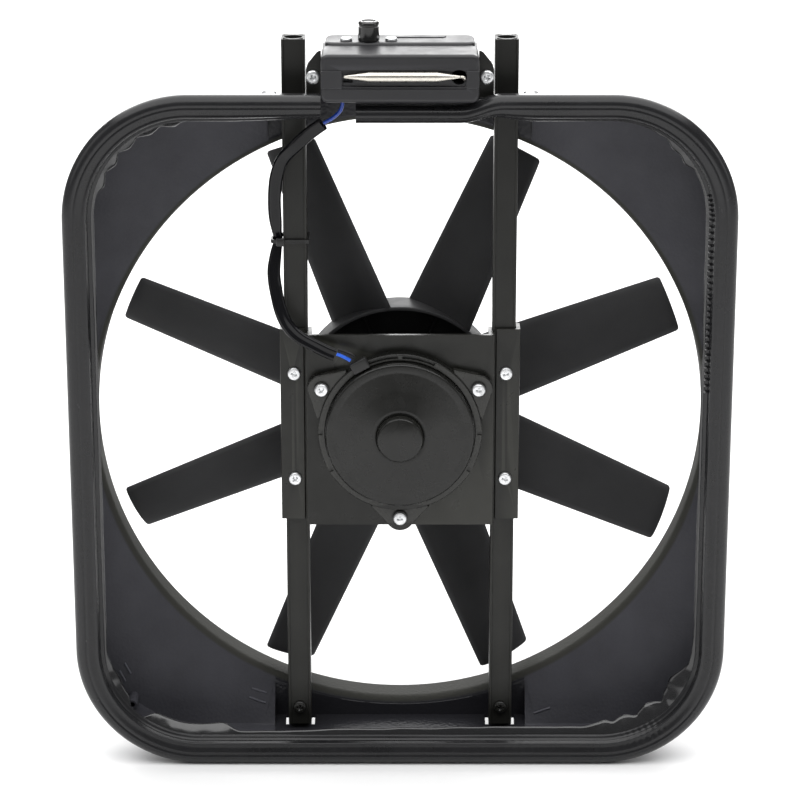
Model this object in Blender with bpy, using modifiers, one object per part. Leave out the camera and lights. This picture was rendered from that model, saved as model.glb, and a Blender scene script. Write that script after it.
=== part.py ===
"""Twelve-volt electric cooling fan in a square box shroud, with its thermostat controller.

The drawing is in millimetres and is scaled to metres as the meshes are made.
Its own frame has the fan axis at x = 0 and z = 0, and y = 0 on the front plane
of the rim seal, with the air flowing along +Y.  The assembly empty moves that
frame so that the model stands on z = 0 and is centred on the Z axis.
"""

import math

import bpy
import bmesh
from mathutils import Matrix, Vector

MM = 0.001
GAP = 0.3
HEAD_SEAT = 0.25

# ---- Overall frame -----------------------------------------------------------
SEAL_HALF_WIDTH = 211.75
SEAL_HALF_HEIGHT = 224.2
SEAL_CORNER = 80.0
FRONT_MOST = -8.2
SHAFT_END = 104.8
AXIS_HEIGHT = SEAL_HALF_HEIGHT
DEPTH_CENTRE = (FRONT_MOST + SHAFT_END) / 2

# ---- Shroud ------------------------------------------------------------------
WALL = 2.5
SEAL_COVER = 3.0
WALL_FRONT = 3.5
WALL_STRAIGHT = 14.0
FUNNEL_START = 44.0
PLATE_FRONT = 56.0
RING_BACK = 78.0
RING_RADIUS = 199.0
FLARE_RADIUS = 203.5
DRAFT_HEIGHT = 0.176
DRAFT_WIDTH = 0.075
RECESS_HALF_WIDTH = 84.0
CORNER_STEPS = 8
SIDE_STEPS = 4
END_STEPS = 3

# ---- Rails and motor plate -----------------------------------------------------
RAIL_X = 67.0
RAIL_WIDTH = 15.0
RAIL_DEPTH = 18.0
RAIL_BACK = PLATE_FRONT - GAP
RAIL_FRONT = RAIL_BACK - RAIL_DEPTH
RAIL_TOP = 253.0
RAIL_FOOT = -210.4
FOOT_SCREW_Z = -198.0
RAIL_BORE = 5.6
PANEL_FRONT = 30.0
PANEL_BACK = 33.0
PANEL_HALF_WIDTH = 61.3
PANEL_TOP = 64.0
PANEL_BOTTOM = -65.8
FLANGE_FRONT = 35.5
FLANGE_BACK = RAIL_FRONT - GAP
FLANGE_HALF_WIDTH = 77.3
FLANGE_TOP = 65.4
FLANGE_BOTTOM = -63.6
CHANNEL_DEPTH = 50.0
PLATE_SCREW_Z = 35.7
PLATE_SCREW_X = 68.3
TAB_RADIUS = 9.6
TAB_Z = -59.4
PLATE_SHEET = 2.2

# ---- Motor -----------------------------------------------------------------------
CAN_RADIUS = 48.4
CAN_FRONT = 24.0
CAN_BACK = 84.0
COVER_RADIUS = 48.1
COVER_FRONT = 14.7
COVER_BACK = CAN_FRONT - GAP
FLANGE_RING_RADIUS = 52.8
FLANGE_RING_FRONT = 21.0
FLANGE_RING_BACK = PANEL_FRONT - GAP
EAR_RADIUS = 58.2
EAR_ROUND = 9.2
EAR_STEP = 1.6
EAR_FOOT = 50.6
EAR_SPREAD = 19.0
WASHER_RADIUS = 5.1
WASHER_BORE = 2.4
WASHER_THICKNESS = 1.1
EAR_ANGLES = (30.0, 150.0, 270.0)
BOSS_RADIUS = 15.8
BOSS_FRONT = 4.5
DOME_FRONT = 10.5
DOME_RADIUS = 17.8
SHAFT_RADIUS = 4.0
BUSH_BORE = 4.1
SHAFT_FRONT = 9.0
CORE_RADIUS = 30.0
CORE_FRONT = 36.0
CORE_BACK = 68.0

# ---- Fan -------------------------------------------------------------------------
BLADE_COUNT = 8
TIP_RADIUS = 191.0
HUB_RADIUS = 70.5
HUB_WALL = 2.5
HUB_FRONT = 69.5
HUB_BACK = 98.0
FIRST_BLADE_ANGLE = 21.9

# ---- Controller ------------------------------------------------------------------
BOX_HALF_WIDTH = 48.7
BOX_FRONT = -4.0
BOX_BACK = 58.0
BOX_BOTTOM = 221.0
BOX_TOP = 251.0
BOX_WALL = 2.5
LID_FRONT = 27.4
LID_TOP = 252.6
LID_SEAT = 247.6
LID_HALF_WIDTH = 46.9
SPINDLE_X = -19.5
SPINDLE_Y = 35.0
KNOB_RADIUS = 6.4
KNOB_BOTTOM = LID_TOP + GAP
KNOB_TOP = 265.4
LID_SCREW_SPACING = 28.0
BULB_RADIUS = 3.2
BULB_Y = FRONT_MOST + BULB_RADIUS
BULB_Z = 237.6
EAR_PLATE_FRONT = 20.0
EAR_PLATE_BACK = 22.0
TRAY_BOTTOM = 219.5
TRAY_BACK = 50.0
EAR_HALF_WIDTH = 58.4
EAR_SCREW_X = 54.0
EAR_SCREW_Z = 232.6

# ---- Harness -----------------------------------------------------------------------
SLEEVE_HALF_WIDTH = 4.2
SLEEVE_HALF_DEPTH = 2.6
SLEEVE_TIED = 2.9
SLEEVE_SIDES = 10
SLEEVE_SPACING = 6.0
WIRE_RADIUS = 1.2
LEAD_SPACING = 2.5
TIE_Z = 123.0
TIE_REACH = 9.0
TIE_SLEEVE_X = -78.2
STRAP = 1.2
GROMMET_ANGLE = 119.0
GROMMET_RADIUS = 53.4


# ==== Scene helpers ====================================================================
def clear_scene():
    for obj in list(bpy.data.objects):
        bpy.data.objects.remove(obj, do_unlink=True)


clear_scene()

PARTS = bpy.data.collections.new("radiator_cooling_fan")
CUTTERS = bpy.data.collections.new("cutters")
bpy.context.scene.collection.children.link(PARTS)
bpy.context.scene.collection.children.link(CUTTERS)

ASSEMBLY = bpy.data.objects.new("assembly_frame", None)
ASSEMBLY.location = (0.0, -DEPTH_CENTRE * MM, AXIS_HEIGHT * MM)
PARTS.objects.link(ASSEMBLY)


def make_material(name, colour, roughness, metallic=0.0):
    material = bpy.data.materials.new(name)
    material.use_nodes = True
    shader = material.node_tree.nodes["Principled BSDF"]
    shader.inputs["Base Color"].default_value = (*colour, 1.0)
    shader.inputs["Roughness"].default_value = roughness
    shader.inputs["Metallic"].default_value = metallic
    return material


MOULDED = make_material("moulded_plastic", (0.035, 0.035, 0.038), 0.55)
RAIL_PLASTIC = make_material("rail_plastic", (0.018, 0.018, 0.018), 0.4)
RUBBER = make_material("seal_rubber", (0.030, 0.030, 0.033), 0.5)
ENAMEL = make_material("black_enamel", (0.015, 0.015, 0.015), 0.3, 0.3)
BLADE_PLASTIC = make_material("fan_plastic", (0.012, 0.012, 0.012), 0.45)
CASE_PLASTIC = make_material("controller_plastic", (0.05, 0.05, 0.053), 0.5)
KNOB_PLASTIC = make_material("knob_plastic", (0.01, 0.01, 0.01), 0.15)
ZINC = make_material("zinc_plate", (0.75, 0.76, 0.78), 0.25, 1.0)
STEEL = make_material("steel", (0.55, 0.55, 0.57), 0.3, 1.0)
BRONZE = make_material("sintered_bronze", (0.45, 0.30, 0.14), 0.5, 1.0)
COPPER = make_material("copper", (0.70, 0.32, 0.16), 0.3, 1.0)
FERRITE = make_material("ferrite", (0.06, 0.06, 0.065), 0.7)
CARBON = make_material("carbon", (0.02, 0.02, 0.02), 0.6)
BLUE_PVC = make_material("blue_pvc", (0.01, 0.10, 0.60), 0.35)
BLACK_PVC = make_material("black_pvc", (0.012, 0.012, 0.013), 0.3)
NICKEL = make_material("nickel_plate", (0.82, 0.78, 0.68), 0.25, 1.0)


def shade(mesh, angle=math.radians(35.0)):
    mesh.shade_smooth()
    mesh.set_sharp_from_angle(angle=angle)


def add_part(name, mesh, material, parent=ASSEMBLY, at=(0.0, 0.0, 0.0), turn=(0.0, 0.0, 0.0)):
    """Link a mesh as a named part at a place in its parent's frame, in millimetres."""
    mesh.materials.clear()
    mesh.materials.append(material)
    shade(mesh)
    obj = bpy.data.objects.new(name, mesh)
    obj.parent = parent
    obj.location = Vector(at) * MM
    obj.rotation_euler = turn
    PARTS.objects.link(obj)
    return obj


def add_cutter(name, mesh, parent=ASSEMBLY, at=(0.0, 0.0, 0.0), turn=(0.0, 0.0, 0.0)):
    obj = bpy.data.objects.new(name, mesh)
    obj.parent = parent
    obj.location = Vector(at) * MM
    obj.rotation_euler = turn
    obj.hide_render = True
    obj.display_type = "WIRE"
    CUTTERS.objects.link(obj)
    return obj


def combine(target, tool, operation="DIFFERENCE"):
    modifier = target.modifiers.new(operation.lower(), "BOOLEAN")
    modifier.operation = operation
    modifier.solver = "EXACT"
    modifier.object = tool


def bevel(target, width, segments=2, angle=50.0):
    modifier = target.modifiers.new("edges", "BEVEL")
    modifier.width = width * MM
    modifier.segments = segments
    modifier.limit_method = "ANGLE"
    modifier.angle_limit = math.radians(angle)


# ==== Shape helpers ====================================================================
def mesh_from(bm, name):
    """Finish a closed bmesh as a mesh whose faces point outwards."""
    if bm.calc_volume(signed=True) < 0.0:
        bmesh.ops.reverse_faces(bm, faces=bm.faces)
    mesh = bpy.data.meshes.new(name)
    bm.to_mesh(mesh)
    bm.free()
    return mesh


def box_mesh(name, low, high):
    bm = bmesh.new()
    bmesh.ops.create_cube(bm, size=1.0)
    size = Vector(high) - Vector(low)
    centre = (Vector(high) + Vector(low)) / 2
    bmesh.ops.scale(bm, vec=size * MM, verts=bm.verts)
    bmesh.ops.translate(bm, vec=centre * MM, verts=bm.verts)
    return mesh_from(bm, name)


def rod_mesh(name, radius, start, end, segments=12):
    """A rod between two points."""
    start = Vector(start) * MM
    end = Vector(end) * MM
    along = end - start
    bm = bmesh.new()
    bmesh.ops.create_cone(
        bm,
        cap_ends=True,
        segments=segments,
        radius1=radius * MM,
        radius2=radius * MM,
        depth=along.length,
    )
    turn = Vector((0.0, 0.0, 1.0)).rotation_difference(along).to_matrix().to_4x4()
    bm.transform(Matrix.Translation((start + end) / 2) @ turn)
    return mesh_from(bm, name)


def turned(name, profile, material, steps=48, parent=ASSEMBLY, at=(0.0, 0.0, 0.0), axis="Y"):
    """Turn a closed (radius, distance along the axis) outline about Y or Z."""
    on_axis = sum(1 for radius, _ in profile if radius == 0.0) >= 2
    area = 0.0
    for (r0, h0), (r1, h1) in zip(profile, profile[1:] + profile[:1]):
        area += r0 * h1 - r1 * h0
    points = profile if area < 0 else profile[::-1]
    if on_axis:
        while not (points[0][0] == 0.0 and points[-1][0] == 0.0):
            points = points[1:] + points[:1]
    mesh = bpy.data.meshes.new(name)
    count = len(points)
    edges = [(i, i + 1) for i in range(count - 1)]
    if not on_axis:
        edges.append((count - 1, 0))
    mesh.from_pydata([(r * MM, 0.0, h * MM) for r, h in points], edges, [])
    turn = (-math.pi / 2, 0.0, 0.0) if axis == "Y" else (0.0, 0.0, 0.0)
    obj = add_part(name, mesh, material, parent, at, turn)
    screw = obj.modifiers.new("turn", "SCREW")
    screw.axis = "Z"
    screw.steps = steps
    screw.render_steps = steps
    screw.use_merge_vertices = True
    screw.merge_threshold = 0.00001
    screw.use_smooth_shade = True
    return obj


def arc(centre, radius, start, end, steps):
    """Points of an arc in a plane, its angles in degrees."""
    points = []
    for i in range(steps + 1):
        angle = math.radians(start + (end - start) * i / steps)
        points.append((centre[0] + radius * math.cos(angle), centre[1] + radius * math.sin(angle)))
    return points


def circle(centre, radius, steps):
    return arc(centre, radius, 0.0, 360.0, steps)[:-1]


def prism_mesh(name, outlines, low, high, axis):
    """Fill flat outlines and extrude them from low to high along an axis.

    Along Y the outlines hold (x, z), along Z they hold (x, y), along X they hold (y, z).
    """
    curve = bpy.data.curves.new(name + "_outline", "CURVE")
    curve.dimensions = "2D"
    curve.fill_mode = "BOTH"
    curve.extrude = (high - low) / 2 * MM
    for outline in outlines:
        spline = curve.splines.new("POLY")
        spline.points.add(len(outline) - 1)
        spline.use_cyclic_u = True
        for point, (a, b) in zip(spline.points, outline):
            point.co = (a * MM, b * MM, 0.0, 1.0)
    guide = bpy.data.objects.new(name + "_outline", curve)
    CUTTERS.objects.link(guide)
    graph = bpy.context.evaluated_depsgraph_get()
    mesh = bpy.data.meshes.new_from_object(guide.evaluated_get(graph))
    bpy.data.objects.remove(guide, do_unlink=True)
    bm = bmesh.new()
    bm.from_mesh(mesh)
    bmesh.ops.remove_doubles(bm, verts=bm.verts, dist=0.000001)
    middle = (low + high) / 2 * MM
    if axis == "Y":
        frame = Matrix(((1, 0, 0, 0), (0, 0, -1, middle), (0, 1, 0, 0), (0, 0, 0, 1)))
    elif axis == "X":
        frame = Matrix(((0, 0, 1, middle), (1, 0, 0, 0), (0, 1, 0, 0), (0, 0, 0, 1)))
    else:
        frame = Matrix.Translation((0.0, 0.0, middle))
    bm.transform(frame)
    bpy.data.meshes.remove(mesh)
    return mesh_from(bm, name)


def loft_mesh(name, rows):
    """Skin rows of equally many points; each row is a closed ring, and both ends are filled."""
    bm = bmesh.new()
    rings = []
    for row in rows:
        rings.append([bm.verts.new(Vector(point) * MM) for point in row])
    for ring, following in zip(rings, rings[1:]):
        count = len(ring)
        for i in range(count):
            j = (i + 1) % count
            bm.faces.new((ring[i], ring[j], following[j], following[i]))
    bmesh.ops.triangulate(bm, faces=bm.faces)
    bm.faces.new(rings[0][::-1])
    bm.faces.new(rings[-1])
    return mesh_from(bm, name)


def smooth_route(points, spacing):
    """Evenly spaced points on a smooth curve through the route's points."""
    knots = [Vector(p) for p in points]
    knots = [2 * knots[0] - knots[1]] + knots + [2 * knots[-1] - knots[-2]]
    dense = []
    for i in range(1, len(knots) - 2):
        before, start, end, after = knots[i - 1:i + 3]
        for step in range(20):
            t = step / 20
            dense.append(0.5 * (
                2 * start
                + (end - before) * t
                + (2 * before - 5 * start + 4 * end - after) * t * t
                + (3 * start - before - 3 * end + after) * t * t * t
            ))
    dense.append(knots[-2])
    length = sum((b - a).length for a, b in zip(dense, dense[1:]))
    count = max(2, round(length / spacing))
    result = [dense[0]]
    travelled = 0.0
    for a, b in zip(dense, dense[1:]):
        travelled += (b - a).length
        while len(result) < count and travelled >= length * len(result) / count:
            result.append(b)
    result.append(dense[-1])
    return result


def wire(name, route, radius, material, spacing):
    """A round lead along a route, as a bevelled curve with filled ends."""
    points = smooth_route(route, spacing)
    curve = bpy.data.curves.new(name, "CURVE")
    curve.dimensions = "3D"
    curve.bevel_depth = radius * MM
    curve.bevel_resolution = 2
    curve.use_fill_caps = True
    spline = curve.splines.new("POLY")
    spline.points.add(len(points) - 1)
    for point, co in zip(spline.points, points):
        point.co = (*(co * MM), 1.0)
    curve.materials.append(material)
    obj = bpy.data.objects.new(name, curve)
    obj.parent = ASSEMBLY
    PARTS.objects.link(obj)
    return obj


def pan_head_screw(name, head_seat, head_radius, head_height, shank, length, material, facing="Y"):
    """A pan-head screw whose head sits at the origin and whose shank runs along the axis."""
    dome = [(0.0, -head_height)]
    dome += [(head_radius * 0.62, -head_height * 0.92), (head_radius * 0.92, -head_height * 0.6)]
    dome += [(head_radius, -head_height * 0.2), (head_radius, 0.0)]
    shaft = [(shank, 0.0), (shank, length - shank), (shank * 0.4, length), (0.0, length)]
    profile = dome + shaft
    if facing == "-Z":
        profile = [(radius, -along) for radius, along in profile]
        return turned(name, profile, material, steps=10, at=head_seat, axis="Z")
    return turned(name, profile, material, steps=10, at=head_seat, axis="Y")


# ==== Shroud and seal ==================================================================
def rounded_outline(half_width, half_height, corner):
    """A rounded rectangle as (x, z) points, anticlockwise from the +X side's middle."""
    cx = half_width - corner
    cz = half_height - corner
    quarter = [(half_width, cz * i / SIDE_STEPS) for i in range(SIDE_STEPS)]
    quarter += arc((cx, cz), corner, 0.0, 90.0, CORNER_STEPS)
    quarter += [(cx * (1 - i / END_STEPS), half_height) for i in range(1, END_STEPS)]
    points = list(quarter)
    points.append((0.0, half_height))
    points += [(-x, z) for x, z in reversed(quarter[1:])]
    points.append((-half_width, 0.0))
    points += [(-x, -z) for x, z in quarter[1:]]
    points.append((0.0, -half_height))
    points += [(x, -z) for x, z in reversed(quarter[1:])]
    return points


def shroud_rows(outward):
    """Rings of the shroud's skin: outward 0 is the inner skin, and WALL the outer one."""
    half_width = SEAL_HALF_WIDTH - SEAL_COVER - WALL + outward
    half_height = SEAL_HALF_HEIGHT - SEAL_COVER - WALL + outward
    corner = SEAL_CORNER - SEAL_COVER - WALL + outward
    back = FUNNEL_START + outward * 0.8
    run = back - WALL_STRAIGHT
    front = rounded_outline(half_width, half_height, corner)
    shrunk = rounded_outline(
        half_width - run * DRAFT_WIDTH,
        half_height - run * DRAFT_HEIGHT,
        corner - run * DRAFT_WIDTH,
    )
    angles = [math.atan2(z, x) for x, z in shrunk]

    def ring(radius, y):
        return [(radius * math.cos(a), y, radius * math.sin(a)) for a in angles]

    rows = [
        [(x, WALL_FRONT, z) for x, z in front],
        [(x, WALL_STRAIGHT, z) for x, z in front],
        [(x, back, z) for x, z in shrunk],
        ring(FLARE_RADIUS + outward * 0.2, PLATE_FRONT + 0.5 + outward),
        ring(RING_RADIUS + 1.6 + outward * 0.6, PLATE_FRONT + 2.6 + outward),
        ring(RING_RADIUS + outward, PLATE_FRONT + 6.0 + outward * 0.6),
        ring(RING_RADIUS + outward, RING_BACK),
    ]
    return rows


def wall_height(y, outward):
    """Half height of the top or bottom wall's skin at a depth behind the straight rim."""
    return SEAL_HALF_HEIGHT - SEAL_COVER - WALL + outward - (y - WALL_STRAIGHT) * DRAFT_HEIGHT


def recess_mesh(name, front, back, half_width, skin, side):
    """A wedge across the top or bottom of the shroud, just inside one skin of the wall."""
    low = 183.0
    outline = [
        (front, low * side),
        (back, low * side),
        (back, (wall_height(back, skin) - 0.05) * side),
        (front, (wall_height(front, skin) - 0.05) * side),
    ]
    return prism_mesh(name, [outline], -half_width, half_width, "X")


def build_shroud():
    outer = loft_mesh("shroud", shroud_rows(WALL))
    shroud = add_part("shroud", outer, MOULDED)
    for label, side in (("top", 1), ("bottom", -1)):
        body = recess_mesh(
            "recess_body_" + label, 30.0, PLATE_FRONT + WALL, RECESS_HALF_WIDTH + WALL, WALL, side
        )
        combine(shroud, add_cutter("recess_body_" + label, body), "UNION")
    rows = shroud_rows(0.0)
    rows[0] = [(x, WALL_FRONT - 3.0, z) for x, _, z in rows[0]]
    rows[-1] = [(x, RING_BACK + 3.0, z) for x, _, z in rows[-1]]
    combine(shroud, add_cutter("shroud_cavity", loft_mesh("shroud_cavity", rows)))
    for label, side in (("top", 1), ("bottom", -1)):
        cut = recess_mesh("recess_cut_" + label, 20.0, PLATE_FRONT, RECESS_HALF_WIDTH, 0.0, side)
        combine(shroud, add_cutter("recess_cut_" + label, cut))
    relieve_for_controller(shroud)
    add_shroud_bosses(shroud)
    cut_shroud_openings(shroud)


def relieve_for_controller(shroud):
    """Cut the top wall back where the controller and its bracket sit low in the rim."""
    tray_relief = EAR_PLATE_FRONT + 4.3
    low = box_mesh("seal_relief", (-49.6, 0.0, 205.0), (76.0, WALL_STRAIGHT + 0.3, 230.0))
    combine(shroud, add_cutter("seal_relief", low))
    deep = box_mesh("tray_relief", (-59.0, WALL_STRAIGHT, 207.0), (59.0, tray_relief, 232.0))
    combine(shroud, add_cutter("tray_relief", deep))


def add_shroud_bosses(shroud):
    """Pads beside the rails and the posts that take the controller bracket's screws."""
    for label, side in (("left", -1), ("right", 1)):
        inner = 77.0 * side
        outer = 87.0 * side
        pad = box_mesh(
            "pad_" + label, (min(inner, outer), 15.0, 214.0), (max(inner, outer), 33.0, 221.9)
        )
        cutter = add_cutter("pad_" + label, pad)
        bevel(cutter, 2.4)
        combine(shroud, cutter, "UNION")
        near = 50.6 * side
        far = (EAR_HALF_WIDTH - 0.6) * side
        post = box_mesh(
            "post_" + label,
            (min(near, far), EAR_PLATE_BACK + GAP, 215.0),
            (max(near, far), 36.0, 240.0),
        )
        combine(shroud, add_cutter("post_" + label, post), "UNION")


def cut_shroud_openings(shroud):
    """Rail notches, slots beside the rail feet and the screw holes."""
    for label, side in (("left", -1), ("right", 1)):
        centre = RAIL_X * side
        half = RAIL_WIDTH / 2 + GAP
        notch = box_mesh(
            "rail_notch_" + label,
            (centre - half, RAIL_FRONT - GAP, 203.0),
            (centre + half, PLATE_FRONT + 0.5, 235.0),
        )
        combine(shroud, add_cutter("rail_notch_" + label, notch))
        slot = box_mesh(
            "foot_slot_" + label,
            (centre - 10.2, 45.5, -230.0),
            (centre + 10.2, PLATE_FRONT - 0.6, -205.0),
        )
        combine(shroud, add_cutter("foot_slot_" + label, slot))
        hole = rod_mesh(
            "foot_hole_" + label, 2.0, (centre, 50.0, FOOT_SCREW_Z), (centre, 70.0, FOOT_SCREW_Z),
            segments=12,
        )
        combine(shroud, add_cutter("foot_hole_" + label, hole))
        ear = EAR_SCREW_X * side
        pilot = rod_mesh(
            "post_hole_" + label, 1.9, (ear, 15.0, EAR_SCREW_Z), (ear, 34.0, EAR_SCREW_Z), segments=12
        )
        combine(shroud, add_cutter("post_hole_" + label, pilot))


SEAL_SECTION = (
    (0.0, 3.0),
    (1.4, 0.3),
    (5.6, 0.6),
    (8.0, 1.8),
    (15.0, 3.4),
    (20.7, 6.8),
    (20.2, 8.2),
    (14.0, 5.4),
    (8.6, 4.6),
    (8.4, 11.6),
    (5.8, 11.6),
    (5.8, 3.2),
    (2.7, 3.2),
    (2.7, 12.6),
    (0.5, 12.6),
)
SEAL_START_X = -27.4
SEAL_END_X = -49.0
SEAL_DIP = 6.4
DIP_FROM = 50.0
DIP_TO = 75.0


def seal_dip(x):
    """How far the controller pushes the top run of the seal down."""
    if x < SEAL_START_X - 1.0:
        return 0.0
    rise = min(1.0, max(0.0, (x - DIP_FROM) / (DIP_TO - DIP_FROM)))
    return SEAL_DIP * (1.0 - rise * rise * (3.0 - 2.0 * rise))


def seal_path():
    """Stations (x, z, outward x, outward z, dip) clockwise from the gap at the top."""
    cx = SEAL_HALF_WIDTH - SEAL_CORNER
    cz = SEAL_HALF_HEIGHT - SEAL_CORNER
    path = []
    for x in (SEAL_START_X, DIP_FROM, 56.0, 62.5, 69.0, DIP_TO):
        path.append((x, SEAL_HALF_HEIGHT, 0.0, 1.0, seal_dip(x)))
    corners = ((cx, cz, 90.0), (cx, -cz, 0.0), (-cx, -cz, -90.0), (-cx, cz, -180.0))
    for centre_x, centre_z, start in corners:
        for i in range(CORNER_STEPS + 1):
            angle = math.radians(start - 90.0 * i / CORNER_STEPS)
            nx = math.cos(angle)
            nz = math.sin(angle)
            path.append((centre_x + SEAL_CORNER * nx, centre_z + SEAL_CORNER * nz, nx, nz, 0.0))
    path.append((SEAL_END_X, SEAL_HALF_HEIGHT, 0.0, 1.0, 0.0))
    return path


def build_seal():
    rows = []
    for x, z, nx, nz, dip in seal_path():
        rows.append([(x - nx * inward, y, z - nz * inward - dip) for inward, y in SEAL_SECTION])
    add_part("rim_seal", loft_mesh("rim_seal", rows), RUBBER)


# ==== Rails and motor plate ============================================================
def build_rail(label, side):
    half_x = RAIL_WIDTH / 2
    half_y = RAIL_DEPTH / 2
    chamfer = 1.0
    outline = [
        (half_x - chamfer, half_y), (-half_x + chamfer, half_y),
        (-half_x, half_y - chamfer), (-half_x, -half_y + chamfer),
        (-half_x + chamfer, -half_y), (half_x - chamfer, -half_y),
        (half_x, -half_y + chamfer), (half_x, half_y - chamfer),
    ]
    loops = [outline, circle((0.0, 0.0), RAIL_BORE, 12)]
    for sx in (-1, 1):
        for sy in (-1, 1):
            loops.append([
                (sx * (half_x - 1.7), sy * (half_y - 1.7)),
                (sx * (half_x - 1.7), sy * (half_y - 4.6)),
                (sx * (half_x - 3.5), sy * (half_y - 1.7)),
            ])
    mesh = prism_mesh("rail_" + label, loops, RAIL_FOOT, RAIL_TOP, "Z")
    centre_y = (RAIL_FRONT + RAIL_BACK) / 2
    rail = add_part("rail_" + label, mesh, RAIL_PLASTIC, at=(RAIL_X * side, centre_y, 0.0))
    shift = PLATE_SCREW_X - RAIL_X
    holes = [(FOOT_SCREW_Z, 0.0), (PLATE_SCREW_Z, shift), (-PLATE_SCREW_Z, shift)]
    for number, (z, offset) in enumerate(holes):
        x = (RAIL_X + offset) * side
        cut = rod_mesh("rail_hole_%s_%d" % (label, number), 2.2, (x, 30.0, z), (x, 62.0, z), segments=8)
        combine(rail, add_cutter("rail_hole_%s_%d" % (label, number), cut))


def build_motor_plate():
    inner = RAIL_X - RAIL_WIDTH / 2 - GAP
    outer = RAIL_X + RAIL_WIDTH / 2 + GAP
    half = [
        (PANEL_HALF_WIDTH, PANEL_FRONT), (PANEL_HALF_WIDTH, FLANGE_FRONT),
        (FLANGE_HALF_WIDTH, FLANGE_FRONT), (FLANGE_HALF_WIDTH, CHANNEL_DEPTH),
        (outer, CHANNEL_DEPTH), (outer, FLANGE_BACK),
        (inner, FLANGE_BACK), (inner, CHANNEL_DEPTH),
        (inner - PLATE_SHEET, CHANNEL_DEPTH), (inner - PLATE_SHEET, PANEL_BACK),
    ]
    outline = half + [(-x, y) for x, y in reversed(half)]
    mesh = prism_mesh("motor_plate", [outline], PANEL_BOTTOM, FLANGE_TOP, "Z")
    plate = add_part("motor_plate", mesh, ENAMEL)
    tab_front = (0.0, PANEL_FRONT, TAB_Z)
    tab_back = (0.0, PANEL_BACK, TAB_Z)
    tab = rod_mesh("screw_tab", TAB_RADIUS, tab_front, tab_back, segments=32)
    combine(plate, add_cutter("screw_tab", tab), "UNION")
    trim = box_mesh("panel_top_trim", (-60.6, 20.0, PANEL_TOP), (60.6, 60.0, 80.0))
    combine(plate, add_cutter("panel_top_trim", trim))
    for label, side in (("left", -1), ("right", 1)):
        edges = sorted((61.6 * side, 90.0 * side))
        low = (edges[0], 20.0, -80.0)
        high = (edges[1], 60.0, FLANGE_BOTTOM)
        cut = box_mesh("flange_trim_" + label, low, high)
        combine(plate, add_cutter("flange_trim_" + label, cut))
    window = rod_mesh(
        "can_window", CAN_RADIUS + 1.0, (0.0, 20.0, 0.0), (0.0, 45.0, 0.0), segments=36
    )
    combine(plate, add_cutter("can_window", window))
    for number, angle in enumerate(EAR_ANGLES):
        x = EAR_RADIUS * math.cos(math.radians(angle))
        z = EAR_RADIUS * math.sin(math.radians(angle))
        cut = rod_mesh("motor_hole_%d" % number, 2.3, (x, 25.0, z), (x, 34.5, z))
        combine(plate, add_cutter("motor_hole_%d" % number, cut))
    for number, (sx, sz) in enumerate(((-1, 1), (-1, -1), (1, 1), (1, -1))):
        x = PLATE_SCREW_X * sx
        z = PLATE_SCREW_Z * sz
        cut = rod_mesh("flange_hole_%d" % number, 2.3, (x, 30.0, z), (x, 37.6, z))
        combine(plate, add_cutter("flange_hole_%d" % number, cut))
        seat = (x, FLANGE_FRONT - HEAD_SEAT, z)
        pan_head_screw("plate_screw_%d" % (number + 1), seat, 4.0, 2.4, 1.9, 16.0, ZINC)
    for label, side in (("left", -1), ("right", 1)):
        seat = (RAIL_X * side, RAIL_FRONT - HEAD_SEAT, FOOT_SCREW_Z)
        pan_head_screw("rail_screw_" + label, seat, 4.0, 2.2, 1.7, 24.0, ENAMEL)


# ==== Motor ============================================================================
def build_motor_case():
    wall = 1.8
    turned("motor_can", [
        (CAN_RADIUS, CAN_FRONT),
        (CAN_RADIUS, CAN_BACK - 3.0),
        (CAN_RADIUS - 3.0, CAN_BACK),
        (13.0, CAN_BACK),
        (13.0, CAN_BACK + 4.0),
        (SHAFT_RADIUS + 1.5, CAN_BACK + 4.0),
        (SHAFT_RADIUS + 1.5, CAN_BACK + 2.2),
        (11.2, CAN_BACK + 2.2),
        (11.2, CAN_BACK - wall),
        (CAN_RADIUS - 3.6, CAN_BACK - wall),
        (CAN_RADIUS - wall, CAN_BACK - 3.6),
        (CAN_RADIUS - wall, CAN_FRONT),
    ], ENAMEL, steps=32)
    turned("motor_end_cover", [
        (COVER_RADIUS, COVER_BACK),
        (COVER_RADIUS, COVER_FRONT + 1.2),
        (COVER_RADIUS - 1.2, COVER_FRONT),
        (COVER_RADIUS - 4.0, COVER_FRONT - 0.2),
        (32.0, DOME_FRONT + 1.4),
        (DOME_RADIUS, DOME_FRONT),
        (DOME_RADIUS - 1.1, DOME_FRONT + 1.0),
        (12.6, DOME_FRONT + 1.0),
        (12.6, DOME_FRONT + 2.6),
        (DOME_RADIUS, DOME_FRONT + 2.6),
        (32.0, DOME_FRONT + 4.0),
        (COVER_RADIUS - 3.0, COVER_FRONT + 2.6),
        (COVER_RADIUS - 2.4, COVER_FRONT + 3.2),
        (COVER_RADIUS - 2.4, COVER_BACK),
    ], ENAMEL, steps=40)
    turned("bearing_cap", [
        (BOSS_RADIUS, DOME_FRONT + 0.7),
        (BOSS_RADIUS, BOSS_FRONT + 2.2),
        (BOSS_RADIUS - 0.8, BOSS_FRONT + 0.7),
        (BOSS_RADIUS - 2.4, BOSS_FRONT),
        (0.0, BOSS_FRONT),
        (0.0, BOSS_FRONT + 2.0),
        (11.3, BOSS_FRONT + 2.0),
        (11.3, DOME_FRONT + 0.7),
    ], ENAMEL, steps=24)
    build_mounting_ring()


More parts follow.
